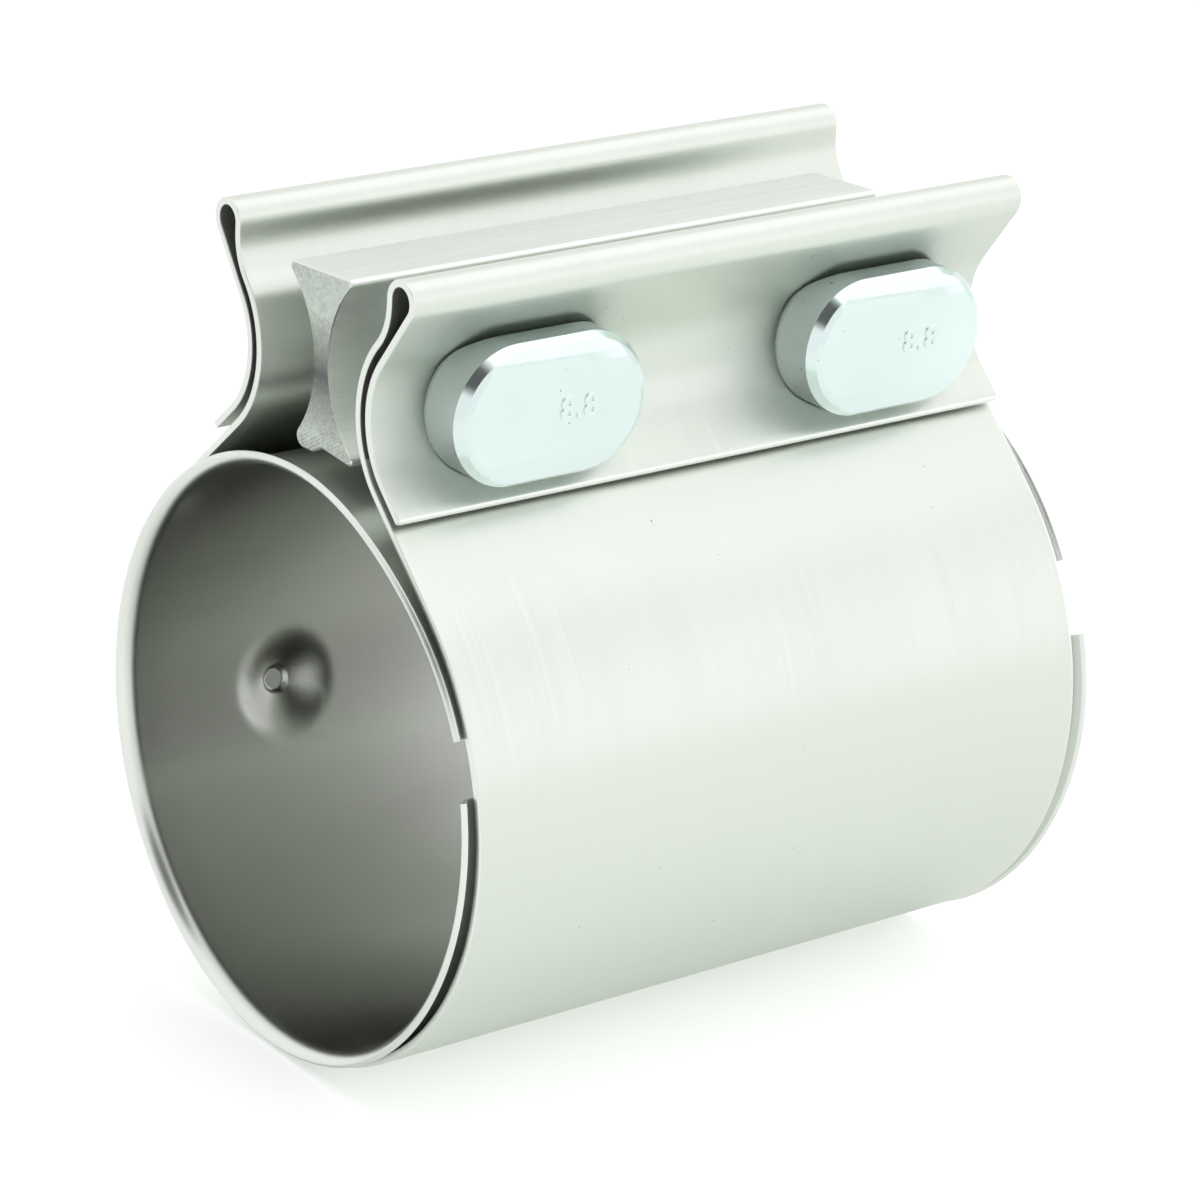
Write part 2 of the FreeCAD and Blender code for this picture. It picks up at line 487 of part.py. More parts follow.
def draw_bar_section(sketch, size):
    """Hourglass: hollow sides, a flat top and a notched underside with a rounder left foot."""
    half_height = size.half_bar_height
    side_radius = size.bar_side_radius
    side_x = size.bar_waist / 2 + side_radius
    tip, heel = size.bar_tip_round, size.bar_heel_round
    right_side, left_side = Vector(side_x, 0, 0), Vector(-side_x, 0, 0)

    def corner(rounding):
        """Distance of a corner's centre from the middle, and the side's angle where it meets the corner."""
        level = half_height - rounding
        reach = side_radius + rounding
        return side_x - math.sqrt(reach ** 2 - level ** 2), math.asin(level / reach)

    tip_x, tip_turn = corner(tip)
    heel_x, heel_turn = corner(heel)
    tip_y, heel_y = half_height - tip, half_height - heel
    notch = Vector(0, size.bar_notch - half_height, 0)
    pi = math.pi
    top, right_top, right, right_foot, sole, rise, ground, left_foot, left, left_top = range(10)
    heel_end = Vector(-heel_x, -half_height, 0)
    toe_end = Vector(tip_x, -half_height, 0)
    rise_foot = Vector(-heel_x / 2, -half_height, 0)
    sketch.addGeometry([
        Part.LineSegment(Vector(-tip_x, half_height, 0), Vector(tip_x, half_height, 0)),
        arc(Vector(tip_x, tip_y, 0), tip, -tip_turn, pi / 2),
        arc(right_side, side_radius, pi - tip_turn, pi + tip_turn),
        arc(Vector(tip_x, -tip_y, 0), tip, -pi / 2, tip_turn),
        Part.LineSegment(toe_end, notch),
        Part.LineSegment(notch, rise_foot),
        Part.LineSegment(rise_foot, heel_end),
        arc(Vector(-heel_x, -heel_y, 0), heel, pi - heel_turn, 3 * pi / 2),
        arc(left_side, side_radius, -heel_turn, tip_turn),
        arc(Vector(-tip_x, tip_y, 0), tip, pi / 2, pi + tip_turn),
    ])
    for joint in ((top, 2, right_top, 2), (right_top, 1, right, 1), (right, 2, right_foot, 2),
                  (ground, 2, left_foot, 2), (left_foot, 1, left, 1), (left, 2, left_top, 2),
                  (left_top, 1, top, 1)):
        relate(sketch, "Tangent", *joint)
    for joint in ((right_foot, 1, sole, 1), (sole, 2, rise, 1), (rise, 2, ground, 1)):
        relate(sketch, "Coincident", *joint)
    relate(sketch, "Horizontal", top)
    relate(sketch, "Horizontal", ground)
    relate(sketch, "PointOnObject", right, 3, -1)
    relate(sketch, "PointOnObject", left, 3, -1)
    relate(sketch, "PointOnObject", sole, 2, -2)
    relate(sketch, "Vertical", right_foot, 3, right_foot, 1)
    dimension(sketch, f"sizes.bar_waist / 2 + {BAR_SIDE_RADIUS}", "DistanceX", -1, 1, right, 3, side_x)
    dimension(sketch, f"sizes.bar_waist / 2 + {BAR_SIDE_RADIUS}", "DistanceX", left, 3, -1, 1, side_x)
    dimension(sketch, BAR_SIDE_RADIUS, "Radius", right, side_radius)
    dimension(sketch, BAR_SIDE_RADIUS, "Radius", left, side_radius)
    for geometry in (right_top, right_foot, left_top):
        dimension(sketch, "sizes.bar_tip_round", "Radius", geometry, tip)
    dimension(sketch, "sizes.bar_heel_round", "Radius", left_foot, heel)
    dimension(sketch, HALF_BAR_HEIGHT, "DistanceY", -1, 1, top, 1, half_height)
    dimension(sketch, HALF_BAR_HEIGHT, "DistanceY", ground, 1, -1, 1, half_height)
    dimension(sketch, HALF_BAR_HEIGHT, "DistanceY", right_foot, 1, -1, 1, half_height)
    dimension(sketch, f"{HALF_BAR_HEIGHT} - sizes.bar_notch", "DistanceY", sole, 2, -1, 1, -notch.y)
    dimension(sketch, "sizes.bar_heel_round", "DistanceX", rise, 2, -1, 1, -rise_foot.x)


def free_sketch(doc, name, rotation):
    """Sketch outside any body, for the pieces that are the common volume of plain extrusions."""
    sketch = doc.addObject("Sketcher::SketchObject", name)
    sketch.Placement = Placement(Vector(), rotation)
    return sketch


def extrude(doc, name, sketch, forward, backward=None):
    """Solid extrusion of a sketch along its normal, by expressions."""
    solid = doc.addObject("Part::Extrusion", name)
    solid.Base = sketch
    solid.DirMode = "Normal"
    solid.Solid = True
    solid.setExpression("LengthFwd", forward)
    solid.setExpression("LengthRev", backward or forward)
    return solid


ALONG_Y = Rotation(Vector(1, 0, 0), 90)
ALONG_X = Rotation(Vector(1, 1, 1), 120)


def draw_plan(sketch, size):
    """Oblong with round ends, centred: the outline that heads and saddles share, long along the pipe."""
    radius = size.half_head_height
    reach = size.head_length / 2 - radius
    top, right, bottom, left = range(4)
    sketch.addGeometry([
        Part.LineSegment(Vector(reach, radius, 0), Vector(-reach, radius, 0)),
        arc(Vector(reach, 0, 0), radius, -math.pi / 2, math.pi / 2),
        Part.LineSegment(Vector(-reach, -radius, 0), Vector(reach, -radius, 0)),
        arc(Vector(-reach, 0, 0), radius, math.pi / 2, 3 * math.pi / 2),
    ])
    for joint in ((top, 1, right, 2), (right, 1, bottom, 2), (bottom, 1, left, 2), (left, 1, top, 2)):
        relate(sketch, "Tangent", *joint)
    relate(sketch, "Horizontal", top)
    relate(sketch, "PointOnObject", right, 3, -1)
    relate(sketch, "Symmetric", left, 3, right, 3, -1, 1)
    dimension(sketch, HALF_HEAD_HEIGHT, "Radius", right, radius)
    dimension(sketch, f"sizes.head_length / 2 - {HALF_HEAD_HEIGHT}", "DistanceX", -1, 1, right, 3, reach)


def make_bolt(doc, label, side, size):
    """Oblong-head bolt. Its head is what three outlines, seen along X, Y and Z, have in common."""
    floor = size.trough_floor + size.seat_ease
    face = floor + size.head_thickness
    floor_expression = f"({TROUGH_FLOOR} + sizes.seat_ease)"
    face_expression = f"({floor_expression} + sizes.head_thickness)"

    section = free_sketch(doc, f"{label}_section", ALONG_Y)
    draw_head_section(section, size, face, face_expression)
    plan = free_sketch(doc, f"{label}_plan", ALONG_X)
    draw_plan(plan, size)
    profile = free_sketch(doc, f"{label}_profile", Rotation())
    draw_head_profile(profile, size, (floor, floor_expression), (face, face_expression))

    head = doc.addObject("Part::MultiCommon", f"{label}_head")
    head.Shapes = [
        extrude(doc, f"{label}_side_view", section, "sizes.head_length"),
        extrude(doc, f"{label}_front_view", plan, f"{face_expression} + {OVERRUN}", "0"),
        extrude(doc, f"{label}_top_view", profile, f"2 * {HALF_HEAD_HEIGHT}"),
    ]
    thread_start = f"({floor_expression} - sizes.shank_length)"
    tail = f"({floor_expression} - sizes.bolt_length)"
    depth = "sizes.thread_depth"
    shank = cylinder(doc, f"{label}_shank", "sizes.bolt_radius", f"sizes.shank_length + {OVERRUN}",
                     thread_start)
    run_out = cone(doc, f"{label}_run_out", CORE_RADIUS, "sizes.bolt_radius", depth,
                   f"{thread_start} - {depth}")
    core = cylinder(doc, f"{label}_core", CORE_RADIUS,
                    f"sizes.bolt_length - sizes.shank_length - 2 * {depth}", f"{tail} + {depth}")
    point = cone(doc, f"{label}_point", f"{CORE_RADIUS} - {depth}", CORE_RADIUS, depth, tail)
    bolt = doc.addObject("Part::MultiFuse", label)
    bolt.Shapes = [head, shank, run_out, core, point]
    bolt.Refine = True
    place_on_bolt_axis(bolt, side, size)
    return bolt


def draw_head_section(sketch, size, face, face_expression):
    """Head seen along the pipe: round underside, straight long sides, face with two sloping facets."""
    half = size.half_head_height
    flat = half - size.head_facet
    centre = Vector(size.trough_centre, 0, 0)
    spread = math.asin(half / size.seat_radius)
    low = polar(centre, size.seat_radius, math.pi + spread)
    high = polar(centre, size.seat_radius, math.pi - spread)
    shoulder = face - size.head_slope
    under, lower, low_facet, front, high_facet, upper = range(6)
    sketch.addGeometry([
        arc(centre, size.seat_radius, math.pi - spread, math.pi + spread),
        Part.LineSegment(low, Vector(shoulder, -half, 0)),
        Part.LineSegment(Vector(shoulder, -half, 0), Vector(face, -flat, 0)),
        Part.LineSegment(Vector(face, -flat, 0), Vector(face, flat, 0)),
        Part.LineSegment(Vector(face, flat, 0), Vector(shoulder, half, 0)),
        Part.LineSegment(Vector(shoulder, half, 0), high),
    ])
    for joint in ((under, 2, lower, 1), (lower, 2, low_facet, 1), (low_facet, 2, front, 1),
                  (front, 2, high_facet, 1), (high_facet, 2, upper, 1), (upper, 2, under, 1)):
        relate(sketch, "Coincident", *joint)
    relate(sketch, "PointOnObject", under, 3, -1)
    relate(sketch, "Symmetric", front, 1, front, 2, -1)
    relate(sketch, "Symmetric", lower, 2, upper, 1, -1)
    relate(sketch, "Horizontal", lower)
    relate(sketch, "Horizontal", upper)
    dimension(sketch, TROUGH_CENTRE, "DistanceX", -1, 1, under, 3, size.trough_centre)
    dimension(sketch, SEAT_RADIUS, "Radius", under, size.seat_radius)
    dimension(sketch, face_expression, "DistanceX", -1, 1, front, 1, face)
    dimension(sketch, HALF_HEAD_HEIGHT, "DistanceY", -1, 1, upper, 1, half)
    dimension(sketch, "sizes.head_facet", "DistanceY", front, 2, upper, 1, size.head_facet)
    dimension(sketch, "sizes.head_slope", "DistanceX", upper, 1, front, 1, size.head_slope)


def draw_head_profile(sketch, size, floor, face):
    """Head seen from above: both ends bevelled, under them and over them."""
    half = size.head_length / 2
    under, over = size.head_undercut, size.head_bevel
    points = [Vector(floor[0] - OVERRUN, half - under - OVERRUN, 0), Vector(floor[0] + under, half, 0),
              Vector(face[0] - over, half, 0), Vector(face[0], half - over / 2, 0)]
    points += [Vector(point.x, -point.y, 0) for point in reversed(points)]
    first = close_polygon(sketch, points)
    half_expression = "sizes.head_length / 2"
    places = (
        (f"{floor[1]} - {OVERRUN}", f"{half_expression} - sizes.head_undercut - {OVERRUN}"),
        (f"{floor[1]} + sizes.head_undercut", half_expression),
        (f"{face[1]} - sizes.head_bevel", half_expression),
        (face[1], f"{half_expression} - sizes.head_bevel / 2"),
    )
    for index, (x_expression, y_expression) in enumerate(places):
        pin_point(sketch, first + index, 1, x_expression, y_expression)
        relate(sketch, "Symmetric", first + index, 1, first + len(points) - 1 - index, 1, -1)


def cylinder(doc, name, radius, length, start):
    """Round bar along +X from a given place, all by expressions."""
    solid = doc.addObject("Part::Cylinder", name)
    solid.Placement = Placement(Vector(), Rotation(Vector(0, 1, 0), 90))
    solid.setExpression("Radius", radius)
    solid.setExpression("Height", length)
    solid.setExpression("Placement.Base.x", start)
    return solid


def cone(doc, name, start_radius, end_radius, length, start):
    """Tapered round bar along +X from a given place, all by expressions."""
    solid = doc.addObject("Part::Cone", name)
    solid.Placement = Placement(Vector(), Rotation(Vector(0, 1, 0), 90))
    solid.setExpression("Radius1", start_radius)
    solid.setExpression("Radius2", end_radius)
    solid.setExpression("Height", length)
    solid.setExpression("Placement.Base.x", start)
    return solid


def place_on_bolt_axis(piece, side, size):
    """Move a piece that was made on the X axis to one of the two bolts."""
    piece.Placement = Placement(Vector(0, side * size.bolt_spacing / 2, size.bolt_height), Rotation())
    piece.setExpression("Placement.Base.y", f"{side} * {BOLT_SPACING} / 2")
    piece.setExpression("Placement.Base.z", BOLT_HEIGHT)


def make_saddle(doc, label, side, size):
    """Washer with a round front that seats in the left flange's trough and a flat back for the nut."""
    section = free_sketch(doc, f"{label}_section", ALONG_Y)
    draw_saddle_section(section, size)
    plan = free_sketch(doc, f"{label}_plan", ALONG_X)
    draw_plan(plan, size)
    body = doc.addObject("Part::MultiCommon", f"{label}_blank")
    body.Shapes = [
        extrude(doc, f"{label}_side_view", section, "sizes.head_length"),
        extrude(doc, f"{label}_front_view", plan, "0", f"{SADDLE_BACK} + {OVERRUN}"),
    ]
    bore = cylinder(doc, f"{label}_bore", BOLT_HOLE_RADIUS, f"{SADDLE_BACK} + {OVERRUN}",
                    f"-{SADDLE_BACK} - {OVERRUN}")
    saddle = doc.addObject("Part::Cut", label)
    saddle.Base = body
    saddle.Tool = bore
    place_on_bolt_axis(saddle, side, size)
    return saddle


def draw_saddle_section(sketch, size):
    """Saddle seen along the pipe: round front towards the flange, bevelled flat back."""
    back = size.saddle_back
    half = size.half_head_height
    bevel = size.saddle_bevel
    centre = Vector(-size.trough_centre, 0, 0)
    spread = math.asin(half / size.seat_radius)
    seat, upper, high_bevel, rear, low_bevel, lower = range(6)
    high = polar(centre, size.seat_radius, spread)
    low = polar(centre, size.seat_radius, -spread)
    sketch.addGeometry([
        arc(centre, size.seat_radius, -spread, spread),
        Part.LineSegment(high, Vector(bevel - back, half, 0)),
        Part.LineSegment(Vector(bevel - back, half, 0), Vector(-back, half - bevel, 0)),
        Part.LineSegment(Vector(-back, half - bevel, 0), Vector(-back, bevel - half, 0)),
        Part.LineSegment(Vector(-back, bevel - half, 0), Vector(bevel - back, -half, 0)),
        Part.LineSegment(Vector(bevel - back, -half, 0), low),
    ])
    for joint in ((seat, 2, upper, 1), (upper, 2, high_bevel, 1), (high_bevel, 2, rear, 1),
                  (rear, 2, low_bevel, 1), (low_bevel, 2, lower, 1), (lower, 2, seat, 1)):
        relate(sketch, "Coincident", *joint)
    relate(sketch, "PointOnObject", seat, 3, -1)
    relate(sketch, "Symmetric", rear, 1, rear, 2, -1)
    relate(sketch, "Symmetric", upper, 2, lower, 1, -1)
    relate(sketch, "Horizontal", upper)
    relate(sketch, "Horizontal", lower)
    dimension(sketch, TROUGH_CENTRE, "DistanceX", seat, 3, -1, 1, size.trough_centre)
    dimension(sketch, SEAT_RADIUS, "Radius", seat, size.seat_radius)
    dimension(sketch, SADDLE_BACK, "DistanceX", rear, 1, -1, 1, back)
    dimension(sketch, HALF_HEAD_HEIGHT, "DistanceY", -1, 1, upper, 2, half)
    dimension(sketch, "sizes.saddle_bevel", "DistanceX", rear, 1, upper, 2, bevel)
    dimension(sketch, f"{HALF_HEAD_HEIGHT} - sizes.saddle_bevel", "DistanceY", -1, 1, rear, 1, half - bevel)


def make_nut(doc, label, side, size):
    """Hexagon nut, bevelled on its outer face, bored to run on the threaded end."""
    outer_expression = f"({SADDLE_BACK} + sizes.nut_height)"
    hexagon = doc.addObject("Part::Prism", f"{label}_hexagon")
    hexagon.Polygon = 6
    hexagon.Placement = Placement(Vector(), Rotation(Vector(0, 1, 0), 90))
    hexagon.setExpression("Circumradius", "sizes.nut_across_flats / 2 / cos(30 deg)")
    hexagon.setExpression("Height", "sizes.nut_height")
    hexagon.setExpression("Placement.Base.x", f"-{outer_expression}")
    narrow = f"sizes.nut_across_flats / 2 * {NUT_FACE_SHARE}"
    wide = f"{narrow} + sizes.nut_height / tan(sizes.nut_bevel * 1 deg)"
    blank = doc.addObject("Part::MultiCommon", f"{label}_blank")
    blank.Shapes = [
        hexagon,
        cone(doc, f"{label}_bevel", narrow, wide, "sizes.nut_height", f"-{outer_expression}"),
    ]
    bore = cylinder(doc, f"{label}_bore", f"{CORE_RADIUS} + sizes.thread_ease",
                    f"sizes.nut_height + 2 * {OVERRUN}", f"-{outer_expression} - {OVERRUN}")
    nut = doc.addObject("Part::Cut", label)
    nut.Base = blank
    nut.Tool = bore
    place_on_bolt_axis(nut, side, size)
    return nut


def check(doc, pieces):
    """Stop if a feature failed or a piece has no valid single solid."""
    for item in doc.Objects:
        if "Invalid" in item.State or "Error" in item.State:
            raise RuntimeError(f"{item.Name} failed: {item.State}")
    for piece in pieces:
        if piece.Shape.isNull() or not piece.Shape.isValid():
            raise RuntimeError(f"{piece.Label} has no valid shape")
        if len(piece.Shape.Solids) != 1:
            raise RuntimeError(f"{piece.Label} has {len(piece.Shape.Solids)} solids")


def main():
    """Build every piece, check it and write it to its own file."""
    doc = FreeCAD.newDocument("exhaust_clamp")
    size = Sizes(make_sheet(doc))
    pieces = [make_outer_band(doc, size), make_inner_sleeve(doc, size), make_spacer_bar(doc, size)]
    for end, side in (("front", -1), ("rear", 1)):
        pieces.append(make_bolt(doc, f"bolt_{end}", side, size))
        pieces.append(make_saddle(doc, f"saddle_{end}", side, size))
        pieces.append(make_nut(doc, f"nut_{end}", side, size))
    doc.recompute()
    check(doc, pieces)
    os.makedirs("parts", exist_ok=True)
    for piece in pieces:
        box = piece.Shape.BoundBox
        print(f"{piece.Label}: volume {piece.Shape.Volume:.1f}, x {box.XMin:.2f} to {box.XMax:.2f}, "
              f"y {box.YMin:.2f} to {box.YMax:.2f}, z {box.ZMin:.2f} to {box.ZMax:.2f}")
        piece.Shape.exportStep(f"parts/{piece.Label}.step")


main()
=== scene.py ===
"""Two-bolt exhaust band clamp of stainless sheet, shown open, as delivered.

Lengths are in millimetres until a mesh is made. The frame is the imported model's: Y runs along the pipe,
Z up through the flanges and X towards the bolt heads, and the front is the -Y end.
"""
from __future__ import annotations

import logging
import math
from collections.abc import Mapping, Sequence
from dataclasses import dataclass, field
from enum import Enum
from typing import NamedTuple

import bmesh
import bpy
from mathutils import Euler, Matrix, Vector

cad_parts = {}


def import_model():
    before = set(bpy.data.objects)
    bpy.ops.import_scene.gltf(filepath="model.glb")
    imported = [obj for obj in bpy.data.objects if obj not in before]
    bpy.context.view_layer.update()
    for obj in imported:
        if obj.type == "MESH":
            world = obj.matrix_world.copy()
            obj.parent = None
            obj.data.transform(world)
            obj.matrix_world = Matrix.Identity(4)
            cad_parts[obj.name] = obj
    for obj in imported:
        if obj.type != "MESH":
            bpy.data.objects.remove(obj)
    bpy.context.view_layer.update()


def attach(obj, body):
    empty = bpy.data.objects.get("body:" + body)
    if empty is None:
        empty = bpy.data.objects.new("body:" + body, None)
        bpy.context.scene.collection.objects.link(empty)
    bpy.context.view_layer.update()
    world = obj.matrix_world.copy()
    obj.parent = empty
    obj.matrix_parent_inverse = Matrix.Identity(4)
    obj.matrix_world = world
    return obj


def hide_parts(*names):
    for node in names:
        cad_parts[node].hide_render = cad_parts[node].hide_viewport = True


LOG = logging.getLogger("exhaust_clamp")
MM = 0.001
SAME_POINT = 1e-6
MERGE = 1e-7
SHARP_ANGLE = math.radians(32)
CREASE_ANGLE = math.radians(8)
WIDE_FACE = 6e-6
TOOL_SIDES = 72
COLUMN_STEP = 5.5
STRIP_MAP = "strip"
ALONG_PIPE = 0.25
RELIEF = 0.0002

# Numbers of each piece's materials
BAND, BAND_EDGE, BAND_FOLD = range(3)
BORE, SLEEVE, SLEEVE_EDGE = range(3)
BAR, BAR_END, BAR_EDGE = range(3)
THREAD, HEAD_WALL = 1, 2

Pair = tuple[float, float]
Triple = tuple[float, float, float]
Colour = tuple[float, float, float]

WHITE: Colour = (1.0, 1.0, 1.0)


class Body(Enum):
    """Bodies that pieces ride on."""

    CLAMP = "clamp"
    BAR = "bar"
    FRONT_SADDLE = "front_saddle"
    REAR_SADDLE = "rear_saddle"
    FRONT_NUT = "front_nut"
    REAR_NUT = "rear_nut"


class End(Enum):
    """The two ends of the clamp, by the sign of Y."""

    FRONT = -1
    REAR = 1

    @property
    def word(self) -> str:
        """The end's name in lower case."""
        return self.name.lower()


class GrainSpace(Enum):
    """What the grain of a finish runs along."""

    STRIP = "along the sheet as it was rolled flat"
    SOLID = "along the axes of the clamp"


class Piece(NamedTuple):
    """Finished object, the body it rides on, the nodes it replaces and its material slot."""

    shape: bpy.types.Object
    body: Body
    nodes: tuple[str, ...]
    slot: str


@dataclass(frozen=True)
class ClampSizes:
    """Sizes that several pieces share, in millimetres."""

    bore_radius: float = 38.7
    sleeve_length: float = 101.6
    sleeve_overhang: float = 1.6
    sleeve_sheet: float = 0.6
    sleeve_ease: float = 0.1
    band_sheet: float = 1.0
    band_slack: float = 0.35
    flange_gap: float = 21.0
    ply_gap: float = 1.1
    trough_radius: float = 11.4
    bolt_inset: float = 21.2
    bolt_height: float = 51.5
    bolt_radius: float = 5.0
    hole_ease: float = 0.5
    seat_ease: float = 0.2
    head_length: float = 29.4
    half_head_height: float = 9.3

    @property
    def half_band(self) -> float:
        """Half the width of the strip."""
        return self.sleeve_length / 2 - self.sleeve_overhang

    @property
    def bolt_place(self) -> float:
        """Distance of each bolt from the middle of the clamp."""
        return self.half_band - self.bolt_inset

    @property
    def sleeve_outside(self) -> float:
        """Outside radius of the sleeve."""
        return self.bore_radius + self.sleeve_sheet

    @property
    def band_inside(self) -> float:
        """Inside radius of the band's round part."""
        return self.sleeve_outside + self.sleeve_ease + self.band_slack

    @property
    def waist_radius(self) -> float:
        """Radius of a flange's inner face round its trough's centre."""
        return self.trough_radius + 2 * self.band_sheet + self.ply_gap

    @property
    def trough_centre(self) -> float:
        """Distance of a trough's centre from the middle plane."""
        return self.flange_gap / 2 + self.waist_radius

    @property
    def seat_radius(self) -> float:
        """Radius of the round side of heads and saddles."""
        return self.trough_radius - self.seat_ease

    @property
    def seat_floor(self) -> float:
        """Distance of that side's middle line from the middle plane."""
        return self.trough_centre - self.seat_radius

    @property
    def head_reach(self) -> float:
        """Distance of the centres of an oblong head's round ends from its bolt."""
        return self.head_length / 2 - self.half_head_height

    @property
    def hole_radius(self) -> float:
        """Radius of the bolt holes."""
        return self.bolt_radius + self.hole_ease

    def axis(self, end: End) -> Pair:
        """Y and Z of the bolt at one end."""
        return end.value * self.bolt_place, self.bolt_height


@dataclass(frozen=True)
class Dimple:
    """Locking dimple pressed outwards through sleeve and band, with a soft mouth and a punch mark."""

    angle: float = 191.5
    place: float = -24.8
    depth: float = 2.7
    mouth_radius: float = 8.6
    wall_power: float = 2.4
    mark_radius: float = 2.0
    mark_depth: float = 0.5
    mark_wall: float = 0.48
    fine_step: float = 0.16
    coarse_step: float = 0.42

    @property
    def direction(self) -> Vector:
        """Unit vector from the pipe's axis to the dimple."""
        turn = math.radians(self.angle)
        return Vector((math.cos(turn), 0, math.sin(turn)))

    def press(self, point: Vector) -> Vector:
        """Move one point of a sheet as the punch moved it.

        Args:
            point: Place on the sheet before it was pressed.

        Returns:
            The place afterwards.
        """
        arm = point - Vector((0, self.place, 0))
        reach = arm.dot(self.direction)
        if reach <= 0:
            return point
        distance = math.sqrt(max(arm.length_squared - reach ** 2, 0))
        if distance >= self.mouth_radius:
            return point
        slope = max(distance, self.mark_radius) / self.mouth_radius
        depth = self.depth * (1 - slope ** 2) ** self.wall_power
        if distance < self.mark_radius:
            depth += self.mark_depth * min((self.mark_radius - distance) / self.mark_wall, 1)
        return point + self.direction * depth

    def columns(self) -> list[float]:
        """Places along the pipe at which a sheet needs points to take the dimple's shape."""
        mark = self.mark_radius + self.fine_step
        fine = spaced(-mark, mark, self.fine_step)
        outer = spaced(mark, self.mouth_radius, self.coarse_step)[1:]
        return [self.place + value for value in [*(-value for value in reversed(outer)), *fine, *outer]]


def spaced(low: float, high: float, step: float) -> list[float]:
    """Even spacing from low to high, both included, no wider than step."""
    count = max(1, math.ceil(abs(high - low) / step))
    return [low + (high - low) * index / count for index in range(count + 1)]


def circle_points(centre: Pair, radius: float, begin: float, end: float, count: int) -> list[Pair]:
    """Points on an arc, both ends included, with its angles in radians."""
    turns = [begin + (end - begin) * share for share in spaced(0, 1, 1 / count)]
    return [(centre[0] + radius * math.cos(turn), centre[1] + radius * math.sin(turn)) for turn in turns]


def without_doubles(loop: Sequence[tuple[Pair, int]]) -> tuple[list[Pair], list[int]]:
    """Leave out the points of a closed loop that only repeat the one before.

    Args:
        loop: Each point with its material number.

    Returns:
        The points that stay, and their material numbers.
    """
    kept: list[tuple[Pair, int]] = []
    for pair, slot in loop:
        if not kept or math.dist(kept[-1][0], pair) > SAME_POINT:
            kept.append((pair, slot))
    if math.dist(kept[0][0], kept[-1][0]) < SAME_POINT:
        kept.pop()
    return [pair for pair, _ in kept], [slot for _, slot in kept]


@dataclass
class MeshDraft:
    """Points and faces in millimetres that become one mesh object."""

    points: list[Vector] = field(default_factory=list)
    faces: list[tuple[int, ...]] = field(default_factory=list)
    slots: list[int] = field(default_factory=list)
    flat: dict[int, Pair] = field(default_factory=dict)

    def add_loop(self, points: Sequence[Vector]) -> list[int]:
        """Add points and return their numbers."""
        first = len(self.points)
        self.points.extend(points)
        return list(range(first, len(self.points)))

    def add_strip_loop(self, points: Sequence[Vector], travel: float, loop: Sequence[Pair]) -> list[int]:
        """Add a section of a rolled sheet, and note where it was when the sheet was flat.

        Args:
            points: The section's points.
            travel: How far along the sheet the section stands.
            loop: The same section, with each point's place across the sheet as its second value.

        Returns:
            The points' numbers.
        """
        numbers = self.add_loop(points)
        for number, (_, y) in zip(numbers, loop):
            self.flat[number] = (travel * MM, y * MM)
        return numbers

    def add_ring(self, x: float, radius: float, axis: Pair, sides: int) -> list[int]:
        """Add a circle of points round a line along X, given by its Y and Z."""
        circle = circle_points(axis, radius, 0, math.tau, sides)[:-1]
        return self.add_loop([Vector((x, y, z)) for y, z in circle])

    def add_tube(self, stations: Sequence[Pair], axis: Pair, sides: int, closed_start: bool = True) -> None:
        """Add a round body along X.

        Args:
            stations: X and radius of each of its rings.
            axis: Y and Z of its axis.
            sides: Points in each ring.
            closed_start: Whether the first ring is closed, as the last one always is.
        """
        rings = [self.add_ring(x, radius, axis, sides) for x, radius in stations]
        for first, second in zip(rings, rings[1:]):
            self.bridge(first, second)
        if closed_start:
            self.add_face(rings[0][::-1])
        self.add_face(rings[-1])

    def add_face(self, corners: Sequence[int], slot: int = 0) -> None:
        """Add one face with its material's number."""
        self.faces.append(tuple(corners))
        self.slots.append(slot)

    def bridge(self, first: Sequence[int], second: Sequence[int], slots: Sequence[int] | int = 0,
               closed: bool = True) -> None:
        """Join two loops of as many points with quads.

        Args:
            first: Numbers of the first loop's points.
            second: Numbers of the second loop's points.
            slots: One material number, or one for each quad.
            closed: Whether the last point joins the first one.
        """
        count = len(first)
        for index in range(count if closed else count - 1):
            after = (index + 1) % count
            slot = slots if isinstance(slots, int) else slots[index]
            self.add_face((first[index], first[after], second[after], second[index]), slot)

    def build(self, name: str, materials: Sequence[bpy.types.Material] = ()) -> bpy.types.Object:
        """Make the mesh object, in metres.

        Args:
            name: Name of the object.
            materials: Materials in the order of the face numbers.

        Returns:
            The new object, linked to the scene.
        """
        mesh = bpy.data.meshes.new(name)
        mesh.from_pydata([tuple(point * MM) for point in self.points], [], self.faces)
        for material in materials:
            mesh.materials.append(material)
        mesh.polygons.foreach_set("material_index", self.slots)
        if self.flat:
            layer = mesh.uv_layers.new(name=STRIP_MAP)
            for loop in mesh.loops:
                layer.data[loop.index].uv = self.flat.get(loop.vertex_index, (0.0, 0.0))
        piece = new_object(name, mesh)
        tidy_mesh(piece)
        return piece


def new_object(name: str, data: bpy.types.ID) -> bpy.types.Object:
    """Make an object and link it to the scene."""
    piece = bpy.data.objects.new(name, data)
    bpy.context.scene.collection.objects.link(piece)
    return piece


def evaluated_mesh(piece: bpy.types.Object) -> bpy.types.Mesh:
    """New mesh of an object as its modifiers leave it."""
    graph = bpy.context.evaluated_depsgraph_get()
    return bpy.data.meshes.new_from_object(piece.evaluated_get(graph))


